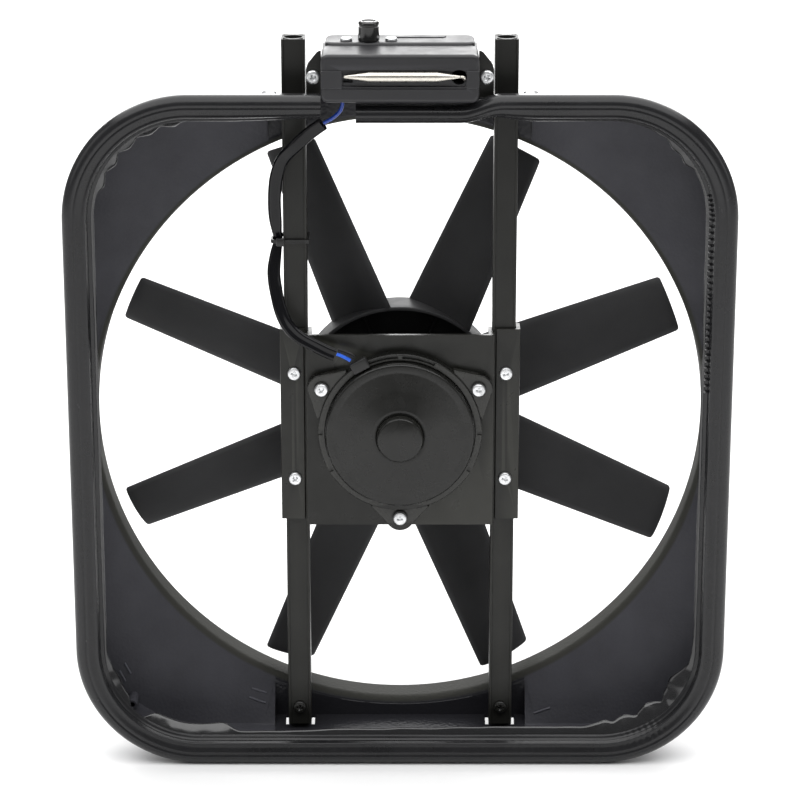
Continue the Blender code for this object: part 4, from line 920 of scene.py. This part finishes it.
# ==== Screws ====
def screw_head(radius, height):
    """A cross-recessed pan head that faces -Y and sits on y = 0, with a short shank behind."""
    profile = [(0.0, -height), (radius * 0.55, -height), (radius * 0.72, -height * 0.97)]
    for step in range(1, 8):
        angle = math.radians(step * 90.0 / 7)
        profile.append((radius * (0.72 + 0.28 * math.sin(angle)), -height * (0.30 + 0.67 * math.cos(angle))))
    profile += [(radius, 0.0), (1.6, 0.0), (1.6, 3.0), (0.0, 3.0)]
    head = solid("head", lathe(profile, 40))
    arm = radius * 0.62
    slots = []
    for turn in (0.0, 90.0):
        slot = block((-arm, -height - 1.0, -0.62), (arm, -height + 1.5, 0.62))
        for vert in slot.verts:
            if vert.co.y > -height:
                vert.co.x *= 0.35
                vert.co.z *= 0.7
        slots.append(turned(slot, turn))
    combine(head, slots)
    soften(head, 0.12, 2)
    mesh = head.data
    mesh.transform(Matrix.Scale(1.0 / MM, 4) @ Matrix.Translation(-ORIGIN))
    bpy.data.objects.remove(head, do_unlink=True)
    return mesh


def place_screw(name, mesh, at, turn, material=ZINC, slot="zinc_plate", upright=False):
    bm = bmesh.new()
    bm.from_mesh(mesh)
    turned(bm, turn)
    if upright:
        turned(bm, -90.0, "X")
    piece(name + "_head", moved(bm, at), material, slot, [name], sharp=30.0)


def build_screws():
    plate_head = screw_head(4.4, 2.3)
    for number, (sx, sz) in enumerate(((-1, 1), (-1, -1), (1, 1), (1, -1))):
        at = (PLATE_SCREW[0] * sx, FLANGE_FRONT - 0.1, PLATE_SCREW[1] * sz)
        place_screw("plate_screw_%d" % (number + 1), plate_head, at, 17.0 + 31.0 * number)
    motor_head = screw_head(4.4, 2.5)
    for number, angle in enumerate(EAR_ANGLES):
        x = EAR_RADIUS * math.cos(math.radians(angle))
        z = EAR_RADIUS * math.sin(math.radians(angle))
        place_screw("motor_screw_%d" % (number + 1), motor_head, (x, RING_FRONT, z), 40.0 * number + 8.0)
        ring = filleted([(5.1, 21.2), (5.1, 22.3), (2.4, 22.3), (2.4, 21.2)], 0.3, 3)
        name = "motor_washer_%d" % (number + 1)
        piece(name + "_ring", lathe(ring, 40, (x, 0.0, z)), MOTOR_ENAMEL, "black_enamel", [name])
    bracket_head = screw_head(4.5, 2.4)
    for label, side in (("left", -1), ("right", 1)):
        at = (BRACKET_SCREW[0] * side, 19.9, BRACKET_SCREW[1])
        place_screw("bracket_screw_" + label, bracket_head, at, 22.0 * side)
        at = (RAIL_X * side, 37.9, FOOT_SCREW_Z)
        place_screw("rail_screw_" + label, bracket_head, at, 12.0, MOTOR_ENAMEL, "black_enamel")
    lid_head = screw_head(3.8, 2.1)
    for number, side in enumerate((-1, 1)):
        at = (SPINDLE[0] + LID_SCREW_REACH * side, SPINDLE[1], LID_TOP + 0.1)
        place_screw("lid_screw_%d" % (number + 1), lid_head, at, 30.0 + 25.0 * number, upright=True)


# ==== Motor plate ====
def build_motor_plate():
    half = [
        (60.6, PANEL_FRONT), (60.6, FLANGE_FRONT + 1.2), (61.9, FLANGE_FRONT + 1.2),
        (61.9, FLANGE_FRONT), (77.3, FLANGE_FRONT), (77.3, 50.0), (74.8, 50.0), (74.8, 37.4),
        (59.2, 37.4), (59.2, 50.0), (57.0, 50.0), (57.0, 33.0),
    ]
    outline = half + [(-x, y) for x, y in reversed(half)]
    plate = solid("plate", prism([filleted(outline, 0.8)], -65.8, 65.4, "Z"))
    combine(plate, [bore(9.6, 0.0, -59.4, PANEL_FRONT, 33.0, 48)], "UNION")
    tools = [block((-61.2, 20.0, 63.0), (61.2, 60.0, 80.0)), bore(49.4, 0.0, 0.0, 20.0, 45.0, 72)]
    for side in (-1, 1):
        tools.append(mirrored_box((61.4, 20.0, -80.0), (90.0, 60.0, -63.6), side))
        for sz in (-1, 1):
            tools.append(bore(SCREW_BORE, PLATE_SCREW[0] * side, PLATE_SCREW[1] * sz, 30.0, 37.45))
    combine(plate, tools)
    soften(plate, 0.35, 2, 50.0)
    piece("plate_pressing", plate, PLATE_ENAMEL, "black_enamel", ["motor_plate"], sharp=30.0, flat_faces=True)


# ==== Motor ====
def build_motor():
    ring = solid("ring", prism([circle((0.0, 0.0), 52.8, 96)], RING_FRONT, 29.7, "Y", 0.9, 4))
    ears = []
    holes = []
    for angle in EAR_ANGLES:
        x = math.cos(math.radians(angle))
        z = math.sin(math.radians(angle))
        outline = [(x * 50.6 - z * 19.0, z * 50.6 + x * 19.0)]
        outline += arc((EAR_RADIUS * x, EAR_RADIUS * z), 9.2, angle + 62.0, angle - 62.0, 16)
        outline += [(x * 50.6 + z * 19.0, z * 50.6 - x * 19.0), (x * 40.0, z * 40.0)]
        ears.append(prism([outline], RING_FRONT + 1.6, 29.1, "Y", 0.8))
        holes.append(bore(SCREW_BORE, EAR_RADIUS * x, EAR_RADIUS * z, 15.0, 35.0))
    combine(ring, ears, "UNION")
    combine(ring, holes + [bore(48.75, 0.0, 0.0, 15.0, 35.0, 96)])
    notches = []
    for start, end in ((64.0, 88.5), (91.5, 116.0)):
        slot = arc((0.0, 0.0), 52.1, start, end, 12) + arc((0.0, 0.0), 49.8, end, start, 12)
        notches.append(prism([slot], 18.0, 23.4, "Y"))
    for angle in (0.0, 180.0, 209.0, 331.0):
        notches.append(turned(block((49.8, 18.0, -1.5), (54.0, 22.4, 1.5)), -angle))
    combine(ring, notches)
    soften(ring, 0.3, 2, 50.0)
    piece("ring_casting", ring, MOTOR_ENAMEL, "black_enamel", ["mounting_ring"], flat_faces=True)

    cover = filleted([
        (48.1, 23.7), (48.1, COVER_FRONT + 1.4), (46.9, COVER_FRONT), (43.4, COVER_FRONT - 0.2),
        (42.2, COVER_FRONT - 0.1), (30.0, 12.7), (17.8, COVER_CROWN), (15.6, COVER_CROWN + 0.2),
        (14.9, BOSS_BASE), (12.6, BOSS_BASE), (12.6, 13.6), (30.0, 15.4), (45.1, 17.3), (45.1, 23.7),
    ], 0.8)
    cover = lathe(cover, 120)
    piece("end_cover_pressing", cover, MOTOR_ENAMEL, "black_enamel", ["motor_end_cover"], sharp=30.0)
    cap = [
        (BOSS_RADIUS, BOSS_BASE), (BOSS_RADIUS, BOSS_FRONT + 1.7), (BOSS_RADIUS - 0.3, BOSS_FRONT + 0.9),
        (BOSS_RADIUS - 0.8, BOSS_FRONT + 0.3), (BOSS_RADIUS - 1.5, BOSS_FRONT), (0.0, BOSS_FRONT),
        (0.0, BOSS_FRONT + 1.6), (11.3, BOSS_FRONT + 1.6), (11.3, BOSS_BASE),
    ]
    piece("bearing_cap_pressing", lathe(cap, 96), MOTOR_ENAMEL, "black_enamel", ["bearing_cap"], sharp=40.0)
    can = [
        (48.4, 24.0), (48.4, 79.0), (47.6, 81.6), (45.6, 83.4), (43.0, 84.0), (16.0, 84.0), (13.6, 84.6),
        (13.0, 86.0), (12.4, 87.6), (11.0, 88.0), (5.5, 88.0), (5.5, 86.2), (11.2, 86.2), (11.2, 82.2),
        (44.8, 82.2), (46.6, 80.4), (46.6, 24.0),
    ]
    piece("can_drawn_steel", lathe(can, 120), MOTOR_ENAMEL, "black_enamel", ["motor_can"])


# ==== Fan ====
def polar(radius, degrees):
    return Vector((radius * math.cos(math.radians(degrees)), radius * math.sin(math.radians(degrees))))


# Each edge of a blade: its angle in degrees at the hub and at the tip, and its depth at both.
LEADING_EDGE = (-17.0, -5.2, 70.6, 71.7)
TRAILING_EDGE = (18.0, 5.1, 94.5, 87.5)
BLADE_CAMBER = 8.8
BLADE_CORNER = 2.2
BLADE_STEPS = 16


def blade_edge(edge, share):
    """Angle in degrees and depth of an edge, at a share of the blade's length."""
    root_angle, tip_angle, root_depth, tip_depth = edge
    spot = polar(HUB_RADIUS, root_angle).lerp(polar(TIP_RADIUS, tip_angle), share)
    return math.degrees(math.atan2(spot.y, spot.x)), root_depth + (tip_depth - root_depth) * share


def blade():
    """One blade: a thin cambered sheet with rounded edges and rounded tip corners."""
    stations = [(HUB_RADIUS - 1.3 + step * 5.2, 0.0) for step in range(23)]
    for step in range(1, 9):
        angle = math.radians(step * 85.0 / 8)
        radius = TIP_RADIUS - BLADE_CORNER + BLADE_CORNER * math.sin(angle)
        stations.append((radius, BLADE_CORNER * (1.0 - math.cos(angle))))
    rows = []
    for radius, inset in stations:
        share = (radius - HUB_RADIUS) / (TIP_RADIUS - HUB_RADIUS)
        lead, lead_depth = blade_edge(LEADING_EDGE, share)
        trail, trail_depth = blade_edge(TRAILING_EDGE, share)
        margin = math.degrees(inset / radius)
        slope = (trail_depth - lead_depth) / (trail - lead)
        lead += margin
        trail -= margin
        lead_depth += slope * margin
        trail_depth -= slope * margin
        thick = 2.6 - 0.9 * share + 1.6 * math.exp(-max(0.0, radius - HUB_RADIUS) / 4.0)
        if radius > TIP_RADIUS - 1.5:
            thick *= 0.8
        front = []
        back = []
        for i in range(BLADE_STEPS + 1):
            t = i / BLADE_STEPS
            spot = polar(radius, lead + (trail - lead) * t + FIRST_BLADE_ANGLE)
            depth = lead_depth + (trail_depth - lead_depth) * t - BLADE_CAMBER * t * (1.0 - t)
            edge = min(1.0, math.sqrt(max(0.0, min(t, 1.0 - t)) / 0.06) + 0.25)
            front.append((spot.x, depth - thick / 2 * edge, spot.y))
            back.append((spot.x, depth + thick / 2 * edge, spot.y))
        rows.append(front + back[::-1])
    return loft(rows)


def build_fan():
    drum = [
        (HUB_RADIUS, HUB_FRONT + 0.6), (HUB_RADIUS, HUB_BACK - 3.0), (HUB_RADIUS - 0.9, HUB_BACK - 0.9),
        (HUB_RADIUS - 3.0, HUB_BACK), (28.0, HUB_BACK), (25.0, HUB_BACK - 0.8), (12.5, HUB_BACK - 0.8),
        (11.5, HUB_BACK), (4.3, HUB_BACK), (4.3, HUB_BACK - 8.5), (9.4, HUB_BACK - 8.5),
        (10.0, HUB_BACK - 7.9), (10.0, HUB_BACK - 3.0),
        (HUB_RADIUS - 4.4, HUB_BACK - 3.0), (HUB_RADIUS - 2.5, HUB_BACK - 5.0),
        (HUB_RADIUS - 2.5, HUB_FRONT + 0.6), (HUB_RADIUS - 1.9, HUB_FRONT), (HUB_RADIUS - 0.6, HUB_FRONT),
    ]
    fan = solid("fan", lathe(drum, 160))
    pitch = 360.0 / BLADE_COUNT
    combine(fan, [merged([turned(blade(), -pitch * i) for i in range(BLADE_COUNT)])], "UNION")
    ribs = []
    for i in range(BLADE_COUNT):
        rib = block((9.6, HUB_BACK - 7.0, -0.9), (HUB_RADIUS - 2.0, HUB_BACK - 2.6, 0.9), 0.3, 2)
        ribs.append(turned(rib, -pitch * (i + 0.5)))
    combine(fan, ribs, "UNION")
    piece("fan_moulding", fan, BLADE_PLASTIC, "fan_plastic", ["fan"], "rotor", sharp=32.0)
    washer = filleted([(8.5, 98.3), (8.5, 99.5), (4.3, 99.5), (4.3, 98.3)], 0.25, 3)
    piece("hub_washer_ring", lathe(washer, 56), ZINC, "zinc_plate", ["hub_washer"], "rotor")
    nut = solid("nut", prism([circle((0.0, 0.0), 7.4, 6), circle((0.0, 0.0), 4.3, 40)], 99.8, 104.2, "Y"))
    piece("hub_nut_hex", soften(nut, 0.4, 3), ZINC, "zinc_plate", ["hub_nut"], "rotor")


# ==== Controller ====
def build_controller():
    face = filleted([
        (-BOX_HALF_WIDTH, BOX_BOTTOM), (BOX_HALF_WIDTH, BOX_BOTTOM),
        (BOX_HALF_WIDTH, BOX_TOP), (-BOX_HALF_WIDTH, BOX_TOP),
    ], 5.0, 8)
    base = solid("base", prism([face], BOX_FRONT, BOX_BACK, "Y", 2.4, 6))
    band = filleted([
        (-BOX_HALF_WIDTH + 0.1, 230.2), (BOX_HALF_WIDTH - 0.1, 230.2),
        (BOX_HALF_WIDTH - 0.1, 241.0), (-BOX_HALF_WIDTH + 0.1, 241.0),
    ], 1.2)
    combine(base, [prism([band], BOX_FRONT - 0.9, BOX_FRONT + 3.0, "Y", 0.5, 4)], "UNION")
    groove = filleted([(-35.9, 229.6), (41.0, 229.6), (41.0, 241.6), (-35.9, 241.6)], 0.8, 3)
    combine(base, [
        block((-60.0, LID_FRONT, LID_SEAT), (60.0, 70.0, 260.0)),
        block((-46.2, 6.0, BOX_BOTTOM + 2.4), (46.2, BOX_BACK - 2.5, LID_SEAT - 0.1)),
        block((-44.0, LID_FRONT + 2.0, 235.0), (44.0, BOX_BACK - 4.5, 256.0)),
        prism([groove], -9.0, BOX_FRONT + 0.9, "Y"),
        block((-35.4, -9.0, 230.9), (40.4, -1.6, 240.8), 0.6),
        block((-35.0, -9.0, 233.4), (-29.0, 1.5, 236.0), 0.4, 2),
        bore(4.8, 36.2, 236.9, -9.0, 8.0, 48),
        rod(4.6, (-35.5, 8.6, 215.0), (-35.5, 8.6, 228.0)),
    ])
    soften(base, 0.35, 2, 50.0)
    piece("case_moulding", base, CASE_PLASTIC, "controller_plastic", ["controller_base"], flat_faces=True)

    outline = filleted([(-46.9, 27.7), (46.9, 27.7), (46.9, 57.6), (-46.9, 57.6)], 7.5, 8)
    holes = [circle(SPINDLE, 3.6, 32)]
    holes += [circle((SPINDLE[0] + LID_SCREW_REACH * side, SPINDLE[1]), 2.2, 24) for side in (-1, 1)]
    lid = solid("lid", prism([outline], 247.9, LID_TOP, "Z", 2.2, 5))
    combine(lid, [prism([hole], 240.0, 260.0, "Z") for hole in holes])
    badge = filleted([(-8.0, 45.4), (29.0, 45.4), (29.0, 54.0), (-8.0, 54.0)], 3.6, 6)
    combine(lid, [prism([badge], LID_TOP - 1.5, LID_TOP + 0.6, "Z", 0.5)], "UNION")
    piece("lid_moulding", lid, CASE_PLASTIC, "controller_plastic", ["controller_lid"], flat_faces=True)
    build_bracket()
    build_thermostat()


def build_bracket():
    tray = solid("tray", block((-58.4, 20.0, 219.5), (58.4, 50.0, 220.7), 0.3, 2))
    ear = ((49.0, 219.5), (58.4, 219.5), (58.4, 237.8), (57.0, 241.4), (51.4, 248.4), (49.0, 249.4))
    for side in (-1, 1):
        outline = filleted([(x * side, z) for x, z in ear], 1.0)
        combine(tray, [prism([outline], 20.0, 22.0, "Y", 0.35)], "UNION")
        combine(tray, [
            bore(2.2, BRACKET_SCREW[0] * side, BRACKET_SCREW[1], 12.0, 30.0, 24),
            mirrored_box((50.2, 22.05, 210.0), (59.4, 36.4, 224.0), side),
        ])
    piece("bracket_pressing", tray, PLATE_ENAMEL, "black_enamel", ["controller_bracket"],
          sharp=30.0, flat_faces=True)


def build_thermostat():
    profile = [
        (6.4, 252.9), (6.75, 253.3), (6.75, 261.8), (6.35, 262.1), (6.35, 262.7), (6.6, 262.95),
        (6.6, 264.2), (6.2, 264.8), (5.5, 265.4), (4.7, 265.3), (4.2, 264.7), (0.0, 264.6),
        (0.0, 261.7), (3.3, 261.7), (3.3, 252.9),
    ]
    knob = lathe(profile, 96, (SPINDLE[0], SPINDLE[1], 0.0), "Z")
    piece("knob_moulding", knob, KNOB_GLOSS, "knob_plastic", ["thermostat_knob"], "dial")

    left = ((0.0, 0.0), (0.55, 0.1), (0.9, 0.7), (3.05, 14.7), (3.2, 15.5), (3.2, 16.5))
    right = ((3.2, 15.3), (3.2, 14.3), (3.05, 13.5), (0.9, 0.7), (0.8, 0.1), (0.0, 0.0))
    profile = [(radius, BULB_LEFT + along) for radius, along in left]
    profile += [(radius, BULB_RIGHT - along) for radius, along in right]
    bulb = lathe(profile, 48, (0.0, BULB[0], BULB[1]), "X")
    piece("bulb_drawn_tube", bulb, NICKEL, "nickel_plate", ["sensing_bulb"], sharp=60.0)
    route = smooth_route([
        (37.4, -5.0, 237.6), (38.6, -5.0, 237.6), (39.7, -4.7, 236.7), (39.4, -2.6, 235.4),
        (37.8, 1.0, 235.0), (36.4, 8.0, 234.6), (33.0, 13.5, 232.5), (24.0, 18.0, 231.0),
        (10.0, 20.6, 231.0), (2.0, 28.0, 231.0), (-2.5, 33.0, 231.0),
    ], 0.8)
    capillary = tube(route, lambda point, share: (0.8, 0.8), 16)
    piece("capillary_wire", capillary, NICKEL, "nickel_plate", ["capillary_tube"])


# ==== Harness ====
SLEEVE_ROUTE = (
    (-48.2, 13.0, 204.4), (-57.0, 17.0, 197.2), (-66.0, 20.0, 188.3), (-73.8, 25.0, 178.9),
    (-77.8, 29.0, 167.6), (-79.4, 33.0, 155.1), (-79.6, 37.0, 142.4), (-78.6, 40.5, 129.7),
    (-77.7, 41.5, TIE_Z), (-79.2, 40.0, 115.4), (-80.6, 36.0, 103.3), (-79.2, 31.0, 92.7),
    (-76.6, 27.0, 81.9), (-73.1, 25.0, 73.2), (-68.6, 24.0, 67.2), (-63.5, 23.0, 63.1),
    (-56.5, 21.5, 59.6), (-46.9, 20.0, 55.0), (-41.5, 19.5, 52.9),
)


SLEEVE_HALF_WIDTH = 4.2
SLEEVE_HALF_DEPTH = 2.6
GRIPPED_RADIUS = 2.9
LEAD_RADIUS = 1.2


def sleeve_size(point, share):
    """Half width and depth of the sleeve: flattened, slightly uneven, gripped by the tie."""
    grip = math.exp(-((point.z - TIE_Z) / 9.0) ** 2)
    uneven = 0.18 * noise.noise(point / 9.0)
    return (
        SLEEVE_HALF_WIDTH + (GRIPPED_RADIUS - SLEEVE_HALF_WIDTH) * grip + uneven,
        SLEEVE_HALF_DEPTH + (GRIPPED_RADIUS - SLEEVE_HALF_DEPTH) * grip - uneven,
    )


def sleeve_crease(share):
    """The sleeve sinks between its two leads near the motor, and a little on the way up."""
    wave = 0.5 + 0.5 * math.sin(share * 31.0)
    return 0.10 + 0.12 * wave + 0.30 * eased(share, 0.62, 0.85)


def build_harness():
    sleeve = tube(smooth_route(SLEEVE_ROUTE, 1.4), sleeve_size, 48, sleeve_crease)
    piece("sleeve_vinyl", sleeve, BLACK_VINYL, "black_pvc", ["harness_sleeve"], sharp=60.0)
    leads = (
        ("controller_lead_blue", NAVY_VINYL, "blue_pvc", (
            (-35.5, 8.6, 224.0), (-35.6, 8.8, 218.0), (-37.2, 9.4, 213.4), (-41.4, 10.8, 209.0),
            (-47.4, 12.7, 205.1),
        )),
        ("motor_lead_blue", BLUE_VINYL, "blue_pvc", (
            (-40.4, 19.4, 53.6), (-36.8, 19.0, 52.2), (-33.6, 18.6, 50.6), (-31.6, 18.4, 49.4),
        )),
        ("motor_lead_black", BLACK_VINYL, "black_pvc", (
            (-39.4, 19.2, 56.2), (-35.6, 18.8, 55.0), (-31.6, 18.4, 53.4), (-28.9, 18.2, 51.8),
        )),
    )
    for name, material, slot, route in leads:
        lead = tube(smooth_route(route, 0.7), lambda point, share: (LEAD_RADIUS, LEAD_RADIUS))
        piece(name + "_insulation", lead, material, slot, [name])
    grommet = turned(block((-5.8, 15.4, -4.2), (5.8, 20.7, 3.2), 1.0, 4), -29.0)
    seat = polar(53.4, 119.0)
    moved(grommet, (seat.x, 0.0, seat.y))
    piece("grommet_moulding", grommet, BLACK_NYLON, "black_pvc", ["lead_grommet"])
    build_cable_tie()


def build_cable_tie():
    def loop(grow):
        return [
            (-59.2 + grow, 37.4 - grow), (-59.2 + grow, 56.0 + grow), (-74.8 - grow, 56.0 + grow),
            (-81.4 - grow, 47.0), (-81.4 - grow, 38.4), (-79.8, 37.4 - grow),
        ]

    strap = [filleted(loop(1.2), 2.0, 5), filleted(loop(0.0), 1.2, 5)]
    tie = solid("tie", prism(strap, TIE_Z - 1.2, TIE_Z + 1.2, "Z"))
    combine(tie, [block((-78.8, 33.6, 120.4), (-73.4, 37.0, 125.6), 0.7)], "UNION")
    combine(tie, [block((x, 35.8, 122.3), (x + 0.5, 36.45, 123.7)) for x in range(-72, -60)])
    piece("tie_nylon", tie, BLACK_NYLON, "black_pvc", ["cable_tie"])


# ==== Carried-over parts ====
def dress_hidden_parts():
    """Give the sealed motor and controller parts kept from the CAD model their own finish."""
    finishes = {
        "shaft": STEEL, "armature_core": STEEL, "thermostat_spindle": STEEL,
        "front_bush": BRONZE, "rear_bush": BRONZE, "brush_holder": BRONZE,
        "winding_front": COPPER, "winding_rear": COPPER, "commutator": COPPER,
        "magnet_left": FERRITE, "magnet_right": FERRITE, "brush_left": CARBON, "brush_right": CARBON,
        "relay": BLACK_VINYL, "terminal_block": CASE_PLASTIC, "thermostat_body": NICKEL,
    }
    for name, material in finishes.items():
        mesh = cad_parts[name].data
        mesh.materials.clear()
        mesh.materials.append(material)


# ==== Floor, light and camera ====
# Name, place, aim, size and power of each softbox, in metres and watts.
SOFTBOXES = (
    ("overhead_softbox", (0.0, 0.8, 2.6), (0.0, 0.8, 0.0), (4.8, 6.2), 238.0),
    ("back_softbox", (0.0, 4.6, 1.5), (0.0, 0.0, 0.5), (4.0, 2.2), 120.0),
    ("left_softbox", (-2.2, -0.8, 1.2), (0.0, 0.0, 0.25), (0.9, 1.4), 4.0),
    ("right_softbox", (2.4, -0.6, 1.0), (0.0, 0.0, 0.25), (0.6, 1.0), 3.0),
)
FLOOR_HALF_SIZE = 12.0
ROOM_LIGHT = 0.24
CAMERA_LENS = 134.98
CAMERA_SENSOR = 36.0
CAMERA_PLACE = (0.0, -1.8658, 0.8198)
CAMERA_PITCH = 17.32


def build_studio():
    bm = bmesh.new()
    bmesh.ops.create_grid(bm, x_segments=2, y_segments=2, size=FLOOR_HALF_SIZE)
    mesh = bpy.data.meshes.new("studio_floor")
    bm.to_mesh(mesh)
    bm.free()
    floor = link("studio_floor", mesh)
    n = Nodes("floor_paper", 0.9, specular=0.1)
    paper = n.blend(n.span(n.grain(3.0, 2.0), 0.0, 1.0), (0.93, 0.93, 0.93), (0.95, 0.95, 0.95))
    mesh.materials.append(n.finish(paper, 0.9, [(n.grain(900.0, 2.0), 0.05, 0.05)]))

    world = bpy.data.worlds.new("studio")
    world.use_nodes = True
    background = world.node_tree.nodes["Background"]
    background.inputs["Color"].default_value = (1.0, 1.0, 1.0, 1.0)
    background.inputs["Strength"].default_value = ROOM_LIGHT
    bpy.context.scene.world = world
    for name, place, aim, size, power in SOFTBOXES:
        lamp = bpy.data.lights.new(name, "AREA")
        lamp.shape = "RECTANGLE"
        lamp.size, lamp.size_y = size
        lamp.energy = power
        softbox = link(name, lamp)
        softbox.location = place
        softbox.rotation_euler = (Vector(aim) - Vector(place)).to_track_quat("-Z", "Y").to_euler()


def build_camera():
    lens = bpy.data.cameras.new("camera")
    lens.lens = CAMERA_LENS
    lens.sensor_width = CAMERA_SENSOR
    lens.clip_end = 50.0
    camera = link("camera", lens)
    camera.location = CAMERA_PLACE
    camera.rotation_euler = (math.radians(90.0 - CAMERA_PITCH), 0.0, 0.0)
    bpy.context.scene.camera = camera
    bpy.context.scene.view_settings.view_transform = "Standard"


build_shroud()
build_seal()
build_rail("left", -1)
build_rail("right", 1)
build_motor_plate()
build_motor()
build_screws()
build_fan()
build_controller()
build_harness()
dress_hidden_parts()
build_studio()
build_camera()
